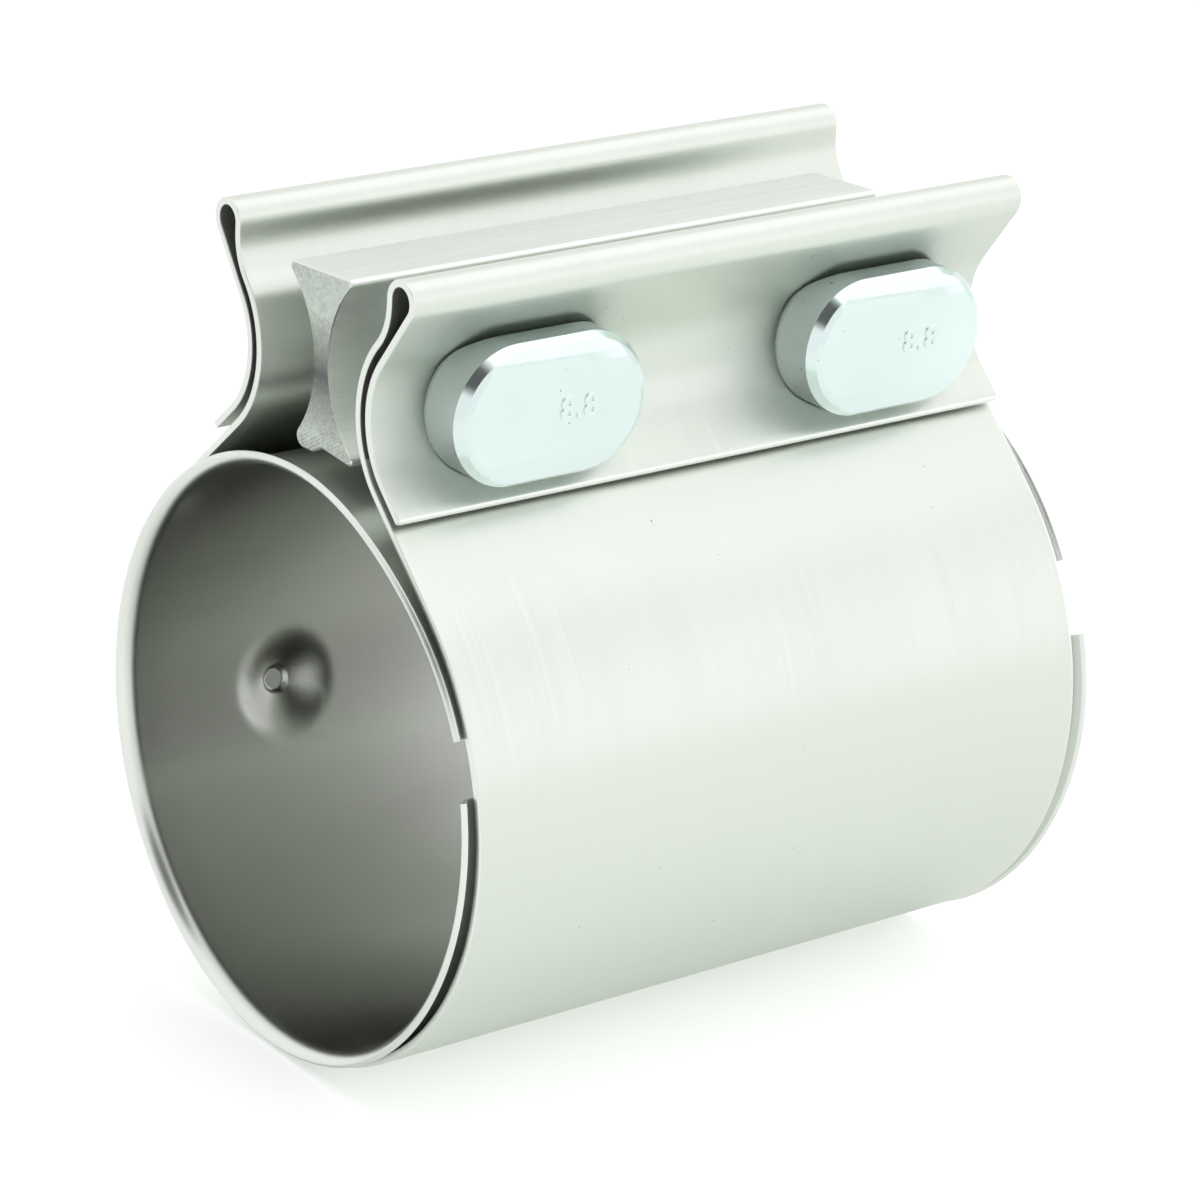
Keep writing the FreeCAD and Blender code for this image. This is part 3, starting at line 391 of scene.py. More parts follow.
def is_smooth(edge: bmesh.types.BMEdge) -> bool:
    """Whether shading runs over an edge.

    Args:
        edge: Edge of a mesh in metres.

    Returns:
        False for a sharp edge, for a slight one between wide faces and for an open one.
    """
    if len(edge.link_faces) != 2:
        return False
    angle = edge.calc_face_angle(0)
    wide = min(face.calc_area() for face in edge.link_faces) > WIDE_FACE
    return angle < (CREASE_ANGLE if wide else SHARP_ANGLE)


def tidy_mesh(piece: bpy.types.Object) -> None:
    """Merge doubled points, point the faces outwards and keep only sharp edges sharp.

    Args:
        piece: Mesh object, changed in place.
    """
    shape = bmesh.new()
    shape.from_mesh(piece.data)
    bmesh.ops.remove_doubles(shape, verts=shape.verts, dist=MERGE)
    bmesh.ops.dissolve_degenerate(shape, dist=MERGE, edges=shape.edges)
    bmesh.ops.recalc_face_normals(shape, faces=shape.faces)
    for face in shape.faces:
        face.smooth = True
    for edge in shape.edges:
        edge.smooth = is_smooth(edge)
    shape.to_mesh(piece.data)
    shape.free()


def cut_away(piece: bpy.types.Object, tools: Sequence[bpy.types.Object]) -> None:
    """Cut tools out of a piece for good, and remove the tools.

    Args:
        piece: Mesh object to be cut.
        tools: Mesh objects to cut away.
    """
    for tool in tools:
        cut = piece.modifiers.new("cut", "BOOLEAN")
        cut.object = tool
        cut.operation = "DIFFERENCE"
        cut.solver = "EXACT"
    old = piece.data
    piece.data = evaluated_mesh(piece)
    piece.modifiers.clear()
    bpy.data.meshes.remove(old)
    for tool in tools:
        bpy.data.objects.remove(tool)
    tidy_mesh(piece)


def round_tool(stations: Sequence[Pair], axis: Pair) -> bpy.types.Object:
    """Round tool along X for cutting a hole.

    Args:
        stations: X and radius along the tool.
        axis: Y and Z of its axis.

    Returns:
        The tool, as a mesh object.
    """
    draft = MeshDraft()
    draft.add_tube(stations, axis, TOOL_SIDES)
    return draft.build("tool")


def tinted(colour: Colour, share: float = 1.0) -> tuple[float, float, float, float]:
    """Colour for a socket, darker or lighter by a share."""
    return (*(value * share for value in colour), 1.0)


class Nodes:
    """Short way to write a node tree."""

    def __init__(self, tree: bpy.types.NodeTree) -> None:
        """Start with an empty tree."""
        self.tree = tree
        tree.nodes.clear()

    def add(self, kind: str, inputs: Mapping[str | int, object] | None = None,
            **settings: object) -> bpy.types.Node:
        """Add a node.

        Args:
            kind: Its type in Blender.
            inputs: The output or plain value for each socket, by the socket's name or number.
            **settings: Its properties.

        Returns:
            The node.
        """
        node = self.tree.nodes.new(kind)
        for name, value in settings.items():
            setattr(node, name, value)
        for name, source in (inputs or {}).items():
            self.feed(node.inputs[name], source)
        return node

    def feed(self, socket: bpy.types.NodeSocket, source: object) -> None:
        """Link an output to a socket, or set the socket to a plain value."""
        if isinstance(source, bpy.types.NodeSocket):
            self.tree.links.new(source, socket)
        else:
            socket.default_value = source

    def math(self, operation: str, *sources: object) -> bpy.types.NodeSocket:
        """Math node on up to three sources."""
        return self.add("ShaderNodeMath", dict(enumerate(sources)), operation=operation).outputs[0]

    def weigh(self, first: object, first_share: float, second: object,
              second_share: float) -> bpy.types.NodeSocket:
        """Sum of two sources, each times its share."""
        return self.math("ADD", self.math("MULTIPLY", first, first_share),
                         self.math("MULTIPLY", second, second_share))

    def noise(self, vector: bpy.types.NodeSocket, scale: float, detail: float,
              roughness: float = 0.5) -> bpy.types.NodeSocket:
        """Noise between 0 and 1."""
        return self.add("ShaderNodeTexNoise", {"Vector": vector, "Scale": scale, "Detail": detail,
                                               "Roughness": roughness}).outputs["Fac"]

    def spread(self, source: bpy.types.NodeSocket, low: float, high: float, start: float = 0.3,
               stop: float = 0.7) -> bpy.types.NodeSocket:
        """Map a value from between start and stop to between low and high."""
        return self.add("ShaderNodeMapRange", {"Value": source, "From Min": start, "From Max": stop,
                                               "To Min": low, "To Max": high}).outputs["Result"]

    def blend(self, factor: object, first: object, second: object) -> bpy.types.NodeSocket:
        """Mix of two colours."""
        return self.add("ShaderNodeMix", {"Factor": factor, "A": first, "B": second},
                        data_type="RGBA").outputs["Result"]


class MaterialNodes(Nodes):
    """Node tree of a new material."""

    def __init__(self, name: str) -> None:
        """Make the material, with an output and no surface yet."""
        self.material = bpy.data.materials.new(name)
        self.material.use_nodes = True
        super().__init__(self.material.node_tree)
        self.output = self.add("ShaderNodeOutputMaterial")

    def metal(self, mirror: float, colour: object, rough: object, height: object,
              depth: float) -> bpy.types.Node:
        """Give the material a metal surface.

        Args:
            mirror: How fully it mirrors, from 0 to 1.
            colour: Its colour.
            rough: Its roughness.
            height: Height of its fine relief, from 0 to 1.
            depth: Strength of that relief.

        Returns:
            Its shader.
        """
        bump = self.add("ShaderNodeBump", {"Strength": depth, "Distance": RELIEF, "Height": height})
        shader = self.add("ShaderNodeBsdfPrincipled", {"Metallic": mirror, "Base Color": colour,
                                                       "Roughness": rough, "Normal": bump.outputs["Normal"]})
        self.feed(self.output.inputs["Surface"], shader.outputs["BSDF"])
        return shader


@dataclass(frozen=True)
class MetalFinish:
    """Metal surface: its colour, its sheen, and the direction and depth of its grain."""

    name: str
    colour: Colour
    roughness: float
    drift: float = 0.05
    mottle: float = 0.05
    patch_scale: float = 55.0
    cloud_scale: float = 14.0
    grain: Triple = (900.0, 30.0, 900.0)
    grain_detail: float = 3.0
    grain_depth: float = 0.08
    space: GrainSpace = GrainSpace.SOLID
    anisotropy: float = 0.0
    mirror: float = 1.0
    streak: float = 0.0
    pits: float = 0.0
    pit_scale: float = 1500.0
    pit_tone: float = 0.3
    # Painted light: a lighter colour towards the pipe's ends, from this distance along it.
    bright_from: float = 0.0
    bright_blend: float = 1.6
    bright: Colour = (0.84, 0.87, 0.82)

    def material(self) -> bpy.types.Material:
        """Make the node material."""
        nodes = MaterialNodes(self.name)
        place = nodes.add("ShaderNodeTexCoord")
        solid = place.outputs["Object"]
        along = place.outputs["UV"] if self.space is GrainSpace.STRIP else solid
        drawn = nodes.add("ShaderNodeMapping", {"Vector": along, "Scale": self.grain})
        grain = nodes.noise(drawn.outputs["Vector"], 1.0, self.grain_detail, 0.6)
        patch = nodes.noise(solid, self.patch_scale, 2.0)
        cloud = nodes.noise(solid, self.cloud_scale, 1.0)
        tone = nodes.spread(nodes.weigh(patch, 0.5, cloud, 0.5), 0.0, 1.0)
        colour = nodes.blend(tone, tinted(self.colour, 1 - self.mottle * 2), tinted(self.colour))
        for share, over in self._layers(nodes, solid, along, grain):
            colour = nodes.blend(share, colour, over)
        vary = self.drift / 2
        rough = nodes.math("ADD", nodes.spread(grain, -self.drift, self.drift),
                           nodes.spread(patch, self.roughness - vary, self.roughness + vary))
        shader = nodes.metal(self.mirror, colour, rough, grain, self.grain_depth)
        if self.anisotropy:
            nodes.feed(shader.inputs["Anisotropic"], self.anisotropy)
            nodes.feed(shader.inputs["Anisotropic Rotation"], ALONG_PIPE)
            nodes.feed(shader.inputs["Tangent"], self._tangent(nodes))
        return nodes.material

    def _layers(self, nodes: Nodes, solid: bpy.types.NodeSocket, along: bpy.types.NodeSocket,
                grain: bpy.types.NodeSocket) -> list[tuple[bpy.types.NodeSocket, tuple[float, ...]]]:
        """Streaks, pits and painted light on the ends of the pipe, as far as the finish has them.

        Args:
            nodes: The material's nodes.
            solid: Coordinates in the clamp's frame.
            along: Coordinates that the grain follows.
            grain: Height of the grain.

        Returns:
            For each layer, where it lies and its colour.
        """
        layers = []
        if self.streak:
            layers.append((nodes.spread(grain, 0.0, 1.0, 0.4, 0.75), tinted(self.colour, 1 - self.streak)))
        if self.pits:
            speck = nodes.noise(solid, self.pit_scale, 1.0)
            layers.append((nodes.spread(speck, 0.0, 1.0, self.pits, self.pits + 0.03),
                           tinted(self.colour, self.pit_tone)))
        # Painted light: a lighter colour towards both ends of the pipe.
        if self.bright_from:
            split = nodes.add("ShaderNodeSeparateXYZ", {0: along})
            reach = nodes.math("ABSOLUTE", split.outputs["Y"])
            full = self.bright_from + self.bright_blend
            lip = nodes.spread(reach, 0.0, 1.0, self.bright_from * MM, full * MM)
            layers.append((lip, tinted(self.bright)))
        return layers

    def _tangent(self, nodes: Nodes) -> bpy.types.NodeSocket:
        """Direction round the pipe, or along the strip before it was rolled."""
        if self.space is GrainSpace.STRIP:
            return nodes.add("ShaderNodeTangent", direction_type="UV_MAP", uv_map=STRIP_MAP).outputs["Tangent"]
        return nodes.add("ShaderNodeTangent", direction_type="RADIAL", axis="Y").outputs["Tangent"]


@dataclass(frozen=True)
class SawnFinish:
    """Sawn steel: crossing saw lines over a coarse grain, duller than the drawn sides, with painted shade
    darkening it towards the waist's level.
    """

    name: str
    colour: Colour = (0.55, 0.595, 0.545)
    dark: float = 0.82
    light: float = 1.35
    mirror: float = 0.6
    roughness: float = 0.42
    relief: float = 0.55
    line_spacing: float = 0.45
    line_share: float = 0.31
    line_depth: float = 0.35
    slant: float = 0.55
    grit_scale: float = 1900.0
    patch_scale: float = 240.0
    waist_level: float = 52.5
    waist_reach: float = 8.0
    waist_painted_shade: float = 0.2

    def material(self) -> bpy.types.Material:
        """Make the node material."""
        nodes = MaterialNodes(self.name)
        solid = nodes.add("ShaderNodeTexCoord").outputs["Object"]
        turned = nodes.add("ShaderNodeMapping", {"Vector": solid, "Rotation": (0.0, self.slant, 0.0)})
        saw = nodes.add("ShaderNodeTexWave",
                        {"Vector": turned.outputs["Vector"],
                         "Scale": self.line_share / (self.line_spacing * MM),
                         "Distortion": 2.2, "Detail": 2.0, "Detail Scale": 2.0},
                        wave_type="BANDS", bands_direction="Z", wave_profile="SIN")
        grit = nodes.noise(solid, self.grit_scale, 4.0, 0.7)
        patch = nodes.noise(solid, self.patch_scale, 3.0)
        mix = nodes.spread(nodes.weigh(grit, 0.8, patch, 0.2), 0.0, 1.0, 0.36, 0.66)
        # Painted shade: the colour darkens towards the waist's level, most at that level.
        split = nodes.add("ShaderNodeSeparateXYZ", {0: solid})
        away = nodes.math("ABSOLUTE", nodes.math("SUBTRACT", split.outputs["Z"], self.waist_level * MM))
        colour = nodes.blend(mix, tinted(self.colour, self.dark), tinted(self.colour, self.light))
        shade = nodes.add("ShaderNodeVectorMath",
                          {"Vector": colour,
                           "Scale": nodes.spread(away, self.waist_painted_shade, 1.0, 0.0, self.waist_reach * MM)},
                          operation="SCALE")
        rough = nodes.spread(grit, self.roughness - 0.08, self.roughness + 0.12)
        height = nodes.math("ADD", nodes.math("MULTIPLY", saw.outputs["Fac"], self.line_depth), grit)
        nodes.metal(self.mirror, shade.outputs["Vector"], rough, height, self.relief)
        return nodes.material


def materials_of(*finishes: MetalFinish | SawnFinish) -> list[bpy.types.Material]:
    """Materials of some finishes, in their order."""
    return [finish.material() for finish in finishes]


@dataclass(frozen=True)
class Finishes:
    """All the finishes of the clamp."""

    band: MetalFinish = MetalFinish("satin_band", (0.825, 0.87, 0.805), 0.41, grain=(30.0, 2400.0, 1.0),
                                    grain_depth=0.004, mottle=0.015, drift=0.03, space=GrainSpace.STRIP,
                                    anisotropy=0.8, streak=0.02, pits=0.82, mirror=0.97)
    fold: MetalFinish = MetalFinish("shaded_fold", (0.52, 0.535, 0.50), 0.45, grain=(30.0, 2400.0, 1.0),
                                    grain_depth=0.004, space=GrainSpace.STRIP)
    sleeve: MetalFinish = MetalFinish("satin_sleeve", (0.73, 0.765, 0.705), 0.38, grain=(30.0, 2200.0, 1.0),
                                      grain_depth=0.004, drift=0.03, space=GrainSpace.STRIP,
                                      anisotropy=0.7)
    # The bore's colour is painted shade inside the pipe: darker than the same sheet's outside, with painted
    # light on its flared ends.
    bore: MetalFinish = MetalFinish("satin_bore", (0.5, 0.515, 0.48), 0.27, grain=(6.0, 260.0, 1.0),
                                    grain_detail=0.0, grain_depth=0.0, drift=0.0, mottle=0.015,
                                    space=GrainSpace.STRIP, anisotropy=0.4, bright_from=48.6)
    edge: MetalFinish = MetalFinish("rounded_edge", (0.88, 0.91, 0.87), 0.34, grain=(400.0, 400.0, 400.0),
                                    grain_depth=0.05)
    bar: MetalFinish = MetalFinish("drawn_bar", (0.845, 0.89, 0.83), 0.46, grain=(2400.0, 22.0, 2400.0),
                                   grain_depth=0.06, mirror=0.76, anisotropy=0.5, streak=0.12, pits=0.79)
    sawn: SawnFinish = SawnFinish("sawn_end")
    bolt: MetalFinish = MetalFinish("plated_bolt", (0.81, 0.935, 0.915), 0.13, grain=(260.0, 260.0, 260.0),
                                    grain_depth=0.05, pits=0.78)
    # The head's walls: rougher forged faces, their darker colour painted shade.
    forged_wall_and_painted_shade: MetalFinish = MetalFinish("plated_side_painted_shade", (0.51, 0.575, 0.56), 0.38, grain=(900.0, 900.0, 900.0),
                                      grain_depth=0.12, drift=0.06, pits=0.76)
    thread: MetalFinish = MetalFinish("plated_thread", (0.74, 0.82, 0.81), 0.24, grain=(700.0, 700.0, 700.0),
                                      grain_depth=0.06)
    saddle: MetalFinish = MetalFinish("forged_saddle", (0.74, 0.78, 0.75), 0.28, grain=(320.0, 320.0, 320.0),
                                      grain_depth=0.12, pits=0.77)
    nut: MetalFinish = MetalFinish("turned_nut", (0.76, 0.80, 0.78), 0.24, grain=(420.0, 420.0, 420.0),
                                   grain_depth=0.08, pits=0.78)


@dataclass(frozen=True)
class Station:
    """One place along a bent strip, seen along the pipe."""

    point: Vector
    side: Vector
    travel: float


class Bend:
    """Line that a strip's face follows: straight runs and arcs, with the sheet on the right of travel."""

    def __init__(self) -> None:
        """Start with no stations."""
        self.stations: list[Station] = []

    def _add(self, x: float, z: float, side: Pair) -> None:
        """Add a station unless the line is there already.

        Args:
            x: Its X.
            z: Its Z.
            side: X and Z of the unit vector from the sheet's inner face to its outer one.
        """
        point = Vector((x, 0, z))
        travel = 0.0
        if self.stations:
            last = self.stations[-1]
            step = (point - last.point).length
            if step < SAME_POINT:
                return
            travel = last.travel + step
        self.stations.append(Station(point, Vector((side[0], 0, side[1])), travel))

    def turn(self, centre: Pair, radius: float, begin: float, end: float, step: float) -> None:
        """Follow an arc.

        Args:
            centre: X and Z of its centre.
            radius: Its radius.
            begin: Angle at which it starts, in radians.
            end: Angle at which it ends, less than begin for a clockwise turn.
            step: Widest step, in radians.
        """
        way = 1 if end > begin else -1
        for angle in spaced(begin, end, step):
            across = (math.cos(angle), math.sin(angle))
            self._add(centre[0] + radius * across[0], centre[1] + radius * across[1],
                      (way * across[0], way * across[1]))

    def run(self, end: Pair, step: float) -> None:
        """Go straight on to a point.

        Args:
            end: X and Z of the point.
            step: Widest step.
        """
        start = self.stations[-1].point
        side = self.stations[-1].side
        for share in spaced(0, 1, step / max(math.dist((start.x, start.z), end), step))[1:]:
            self._add(start.x + (end[0] - start.x) * share, start.z + (end[1] - start.z) * share,
                      (side.x, side.z))

    def mirrored(self) -> list[Station]:
        """The line and its mirror image in one, from the left free end to the right one."""
        left = [Station(Vector((-s.point.x, 0, s.point.z)), Vector((-s.side.x, 0, s.side.z)), -s.travel)
                for s in reversed(self.stations[1:])]
        return left + self.stations


@dataclass
class OuterBand:
    """Strip rolled round the sleeve, with both ends folded into double-ply flanges."""

    sizes: ClampSizes
    finishes: Finishes
    dimple: Dimple = Dimple()
    neck_radius: float = 8.0
    eye_radius: float = 2.83
    eye_offset: float = 8.5
    eye_rise: float = 1.1
    hem_length: float = 5.2
    edge_round: float = 0.2
    end_round: float = 0.42
    fold_height: float = 44.0
    dimple_reach: float = math.radians(10.5)
    dimple_step: float = math.radians(0.36)
    round_step: float = math.radians(1.5)
    trough_step: float = math.radians(2.5)
    neck_step: float = math.radians(3)
    eye_step: float = math.radians(6)
    run_step: float = 1.5
    neck_run_step: float = 0.6
    end_turns: tuple[float, ...] = (22, 45, 67, 90)

    def bend(self) -> list[Station]:
        """Stations of the strip's inner face, as the press left it."""
        sizes, pi = self.sizes, math.pi
        middle = Vector((0, sizes.band_slack))
        trough = Vector((sizes.trough_centre, sizes.bolt_height))
        across = trough - middle
        leave = math.atan2(across.y, across.x) - math.acos(
            (sizes.band_inside + sizes.waist_radius) / across.length)
        eye_x = sizes.flange_gap / 2 + self.eye_offset
        neck_x = eye_x - self.eye_radius - self.neck_radius
        rise = math.sqrt((sizes.waist_radius + self.neck_radius) ** 2 - (trough.x - neck_x) ** 2)
        neck = (neck_x, trough.y + rise)
        neck_turn = math.atan2(rise, neck_x - trough.x)
        eye = Vector((eye_x, neck[1] + self.eye_rise))
        down = trough - eye
        eye_leave = math.atan2(down.y, down.x) + math.acos(
            (self.eye_radius + sizes.trough_radius) / down.length)

        def round_trough(radius: float, angle: float) -> Pair:
            """Point round the trough's centre, on the side away from an angle."""
            return trough.x + radius * math.cos(pi + angle), trough.y + radius * math.sin(pi + angle)

        hem_x, hem_z = round_trough(sizes.trough_radius, leave)
        straight = self.hem_length - self.end_round
        dimple = math.radians(180 - self.dimple.angle)
        before, after = dimple - self.dimple_reach, dimple + self.dimple_reach

        line = Bend()
        line.turn(tuple(middle), sizes.band_inside, -pi / 2, before, self.round_step)
        line.turn(tuple(middle), sizes.band_inside, before, after, self.dimple_step)
        line.turn(tuple(middle), sizes.band_inside, after, leave, self.round_step)
        line.run(round_trough(sizes.waist_radius, leave), self.run_step)
        line.turn(tuple(trough), sizes.waist_radius, pi + leave, neck_turn, self.trough_step)
        line.turn(neck, self.neck_radius, neck_turn - pi, 0, self.neck_step)
        line.run((eye_x - self.eye_radius, eye.y), self.neck_run_step)
        line.turn(tuple(eye), self.eye_radius, pi, eye_leave, self.eye_step)
        line.run(round_trough(sizes.trough_radius, eye_leave), self.run_step)
        line.turn(tuple(trough), sizes.trough_radius, pi + eye_leave, pi + leave, self.trough_step)
        line.run((hem_x + straight * math.sin(leave), hem_z - straight * math.cos(leave)), self.run_step)
        return line.mirrored()

    def section(self) -> tuple[list[Pair], list[int]]:
        """Section of the sheet as offset and Y, with rounded edges, and each side's material number."""
        sheet, soft, right = self.sizes.band_sheet, self.edge_round, math.pi / 2
        edge = self.sizes.half_band - soft
        support = [sign * (edge - soft) for sign in (-1, 1)]
        columns = sorted(set(spaced(-edge, edge, COLUMN_STEP) + support + self.dimple.columns()))
        rear = (circle_points((soft, edge), soft, 2 * right, right, 4)
                + circle_points((sheet - soft, edge), soft, right, 0, 4))
        front = (circle_points((sheet - soft, -edge), soft, 0, -right, 4)
                 + circle_points((soft, -edge), soft, -right, -2 * right, 4))
        sides = (([(0.0, y) for y in columns], BAND), (rear, BAND_EDGE),
                 ([(sheet, y) for y in reversed(columns)], BAND), (front, BAND_EDGE))
        return without_doubles([(pair, slot) for side, slot in sides for pair in side])

    def build(self) -> list[Piece]:
        """Build the strip and punch its bolt holes."""
        sizes, finishes = self.sizes, self.finishes
        loop, slots = self.section()
        stations = self.bend()
        draft = MeshDraft()
        rings = []
        for station in stations:
            points = [self.dimple.press(station.point + station.side * offset + Vector((0, y, 0)))
                      for offset, y in loop]
            rings.append(draft.add_strip_loop(points, station.travel, loop))
        # The sheet's outer faces in the folded flanges, in the eye and between the plies, take the darker fold
        # finish: painted shade in these hollows.
        folded = [BAND_FOLD if slot == BAND and offset > 0 else slot for slot, (offset, _) in zip(slots, loop)]
        first_fold = min(abs(station.travel) for station in stations if station.point.z > self.fold_height)
        for first, second, station in zip(rings, rings[1:], stations):
            draft.bridge(first, second, folded if abs(station.travel) > first_fold else slots)
        self._close_end(draft, rings[0], loop, stations[0], 1)
        self._close_end(draft, rings[-1], loop, stations[-1], -1)
        piece = draft.build("band", materials_of(finishes.band, finishes.edge, finishes.fold))
        reach = sizes.trough_centre + sizes.trough_radius
        cut_away(piece, [round_tool([(-reach, sizes.hole_radius), (reach, sizes.hole_radius)], sizes.axis(end))
                         for end in End])
        return [Piece(piece, Body.CLAMP, ("outer_band",), "band_sheet")]

    def _close_end(self, draft: MeshDraft, ring: Sequence[int], loop: Sequence[Pair], station: Station,
                   way: int) -> None:
        """Close one free end of the strip with a rounded rim and a flat face.

        Args:
            draft: Mesh that the strip is part of.
            ring: Numbers of the end's points.
            loop: Section of the strip.
            station: Place of the end.
            way: 1 at the left end, -1 at the right one.
        """
        sheet, half = self.sizes.band_sheet, self.sizes.half_band
        onward = Vector((station.side.z, 0, -station.side.x)) * way
        last = ring
        for turn in map(math.radians, self.end_turns):
            shrink = self.end_round * (1 - math.cos(turn))
            points = [station.point + station.side * (shrink + offset * (sheet - 2 * shrink) / sheet)
                      + Vector((0, y * (half - shrink) / half, 0)) + onward * self.end_round * math.sin(turn)
                      for offset, y in loop]
            inset = draft.add_strip_loop(points, station.travel, loop)
            draft.bridge(last, inset, BAND_EDGE)
            last = inset
        draft.add_face(last, BAND_EDGE)


@dataclass
class InnerSleeve:
    """Split liner with flared ends, a little out of round where the open split lets it spring."""

    sizes: ClampSizes
    finishes: Finishes
    dimple: Dimple = Dimple()
    lip_length: float = 1.64
    lip_angle: float = 51.0
    bell_radius: float = 3.0
    rim_sheet: float = 0.85
    edge_round: float = 0.12
    split_angle: float = 21.5
    split_near: Pair = (-5.45, 2.1)
    split_far: Pair = (-3.55, 6.45)
    spring_upper: float = 0.75
    upper_place: float = 58.0
    upper_width: float = 21.0
    spring_lower: float = 1.35
    lower_place: float = -25.0
    loose_width: float = 45.0
    loose_limit: float = 20.0
    far_reach: float = 1.2
    step: float = math.radians(1.2)
    dimple_reach: float = math.radians(10.8)
    dimple_share: float = 0.3
    column_room: float = 0.05

    def profile(self) -> tuple[list[Pair], list[int]]:
        """Section of the wall as radius and Y, with each side's material number."""
        sizes = self.sizes
        bend = math.radians(self.lip_angle)
        sheet, thick, soft = sizes.sleeve_sheet, self.rim_sheet, self.edge_round
        corner = (sizes.sleeve_outside, sizes.sleeve_length / 2 - self.lip_length)
        flare = (self.lip_length - sheet * math.sin(bend)) / math.cos(bend)

        def on_flare(distance: float, depth: float) -> Pair:
            """Point on the lip, by distance along it and depth in from its outer face."""
            return (corner[0] + math.sin(bend) * distance - math.cos(bend) * depth,
                    corner[1] + math.cos(bend) * distance + math.sin(bend) * depth)

        rim_radius, rim_y = on_flare(flare, thick)
        rise = rim_radius - sizes.bore_radius - self.bell_radius * (1 - math.cos(bend))
        start = rim_y - self.bell_radius * math.sin(bend) - rise / math.tan(bend)
        bore = [(sizes.bore_radius, y) for y in spaced(0, start, COLUMN_STEP)]
        lip = circle_points((sizes.bore_radius + self.bell_radius, start), self.bell_radius,
                            math.pi, math.pi - bend, 10)[1:]
        slight = soft * 0.3
        rim = [on_flare(flare - soft, thick), on_flare(flare - slight, thick - slight),
               on_flare(flare, thick - soft), on_flare(flare, thick / 2), on_flare(flare, soft),
               on_flare(flare - slight, slight), on_flare(flare - soft, 0)]
        back = [on_flare(flare * share, 0) for share in (0.7, 0.35, 0)]
        support = corner[1] - 2 * sheet
        inner = reversed(spaced(0, support - sheet, COLUMN_STEP))
        wall = [(sizes.sleeve_outside, y) for y in (support, *inner)]
        sides = ((bore + lip, BORE), (rim, SLEEVE_EDGE), (back + wall, SLEEVE))
        rear = [(pair, slot) for side, slot in sides for pair in side]
        front = [((radius, -y), slot) for (radius, y), slot in reversed(rear)]
        return without_doubles(self._with_dimple_columns(rear + front))

    def _with_dimple_columns(self, loop: list[tuple[Pair, int]]) -> list[tuple[Pair, int]]:
        """Add the dimple's columns to the straight runs of the loop.

        Args:
            loop: Each point with its material number.

        Returns:
            The loop with the columns' points in their places.
        """
        full: list[tuple[Pair, int]] = []
        columns = self.dimple.columns()
        for (pair, slot), (after, _) in zip(loop, loop[1:] + loop[:1]):
            full.append((pair, slot))
            if abs(pair[0] - after[0]) < SAME_POINT:
                low, high = sorted((pair[1], after[1]))
                between = [y for y in columns if low + self.column_room < y < high - self.column_room]
                if after[1] < pair[1]:
                    between.reverse()
                full.extend(((pair[0], y), slot) for y in between)
        return full

    def split(self, y: float) -> Pair:
        """Angles of the split's lower and upper edges at a place along the pipe."""
        share = y / self.sizes.sleeve_length + 0.5
        middle = math.radians(self.split_angle)
        lower, upper = (near + (far - near) * share for near, far in zip(self.split_near, self.split_far))
        return (middle + math.asin(lower / self.sizes.sleeve_outside),
                middle + math.asin(upper / self.sizes.sleeve_outside))

    def spring(self, angle: float, y: float) -> float:
        """How far the loose sleeve stands in from round, most at the right of the front end.

        Args:
            angle: Angle round the pipe, in radians.
            y: Place along the pipe.

        Returns:
            The distance, negative for inwards.
        """
        share = 0.5 - y / self.sizes.sleeve_length
        degrees = math.degrees(angle) % 360
        upper = math.exp(-((degrees - self.upper_place) / self.upper_width) ** 2) * self.spring_upper
        low = (degrees + 180) % 360 - 180
        lower = 0.0
        if low < self.loose_limit:
            lower = math.exp(-((low - self.lower_place) / self.loose_width) ** 2) * self.spring_lower
        return -share * max(upper, lower)

    def creep(self, angle: float, y: float) -> float:
        """How far the sleeve below the split stands out at the rear end, for the same arguments."""
        low = (math.degrees(angle) + 180) % 360 - 180
        if low > self.loose_limit:
            return 0.0
        share = max(y / self.sizes.sleeve_length + 0.5, 0) ** 2
        return share * self.far_reach * math.exp(-(low / self.loose_width) ** 2)

    def build(self) -> list[Piece]:
        """Build the sleeve."""
        loop, slots = self.profile()
        dimple = math.radians(self.dimple.angle)
        before, after = dimple - self.dimple_reach, dimple + self.dimple_reach
        lower, upper = self.split(0)
        lower += math.tau
        angles = (spaced(upper, before, self.step)[:-1]
                  + spaced(before, after, self.step * self.dimple_share)[:-1]
                  + spaced(after, lower, self.step))

        def place(share: float, radius: float, y: float) -> Vector:
            """Point of the sheet before it was pressed.

            Args:
                share: Share of the way round, from the split's upper edge.
                radius: Distance from the pipe's axis.
                y: Place along the pipe.

            Returns:
                The point, sprung and crept as the loose sleeve is.
            """
            low, high = self.split(y)
            skew = high - upper
            close = low + math.tau - lower
            angle = upper + (lower - upper) * share
            angle += skew * max(1 - share * 3, 0) + close * max(share * 3 - 2, 0)
            reach = radius + self.spring(angle, y)
            return Vector((reach * math.cos(angle), y + self.creep(angle, y), reach * math.sin(angle)))

        draft = MeshDraft()
        rings = []
        for share in [(angle - upper) / (lower - upper) for angle in angles]:
            points = [self.dimple.press(place(share, *pair)) for pair in loop]
            rings.append(draft.add_strip_loop(points, share * math.tau * self.sizes.bore_radius, loop))
        for first, second in zip(rings, rings[1:]):
            draft.bridge(first, second, slots)
        draft.add_face(rings[0], SLEEVE_EDGE)
        draft.add_face(rings[-1][::-1], SLEEVE_EDGE)
        finishes = self.finishes
        piece = draft.build("sleeve", materials_of(finishes.bore, finishes.sleeve, finishes.edge))
        return [Piece(piece, Body.CLAMP, ("inner_sleeve",), "sleeve_sheet")]


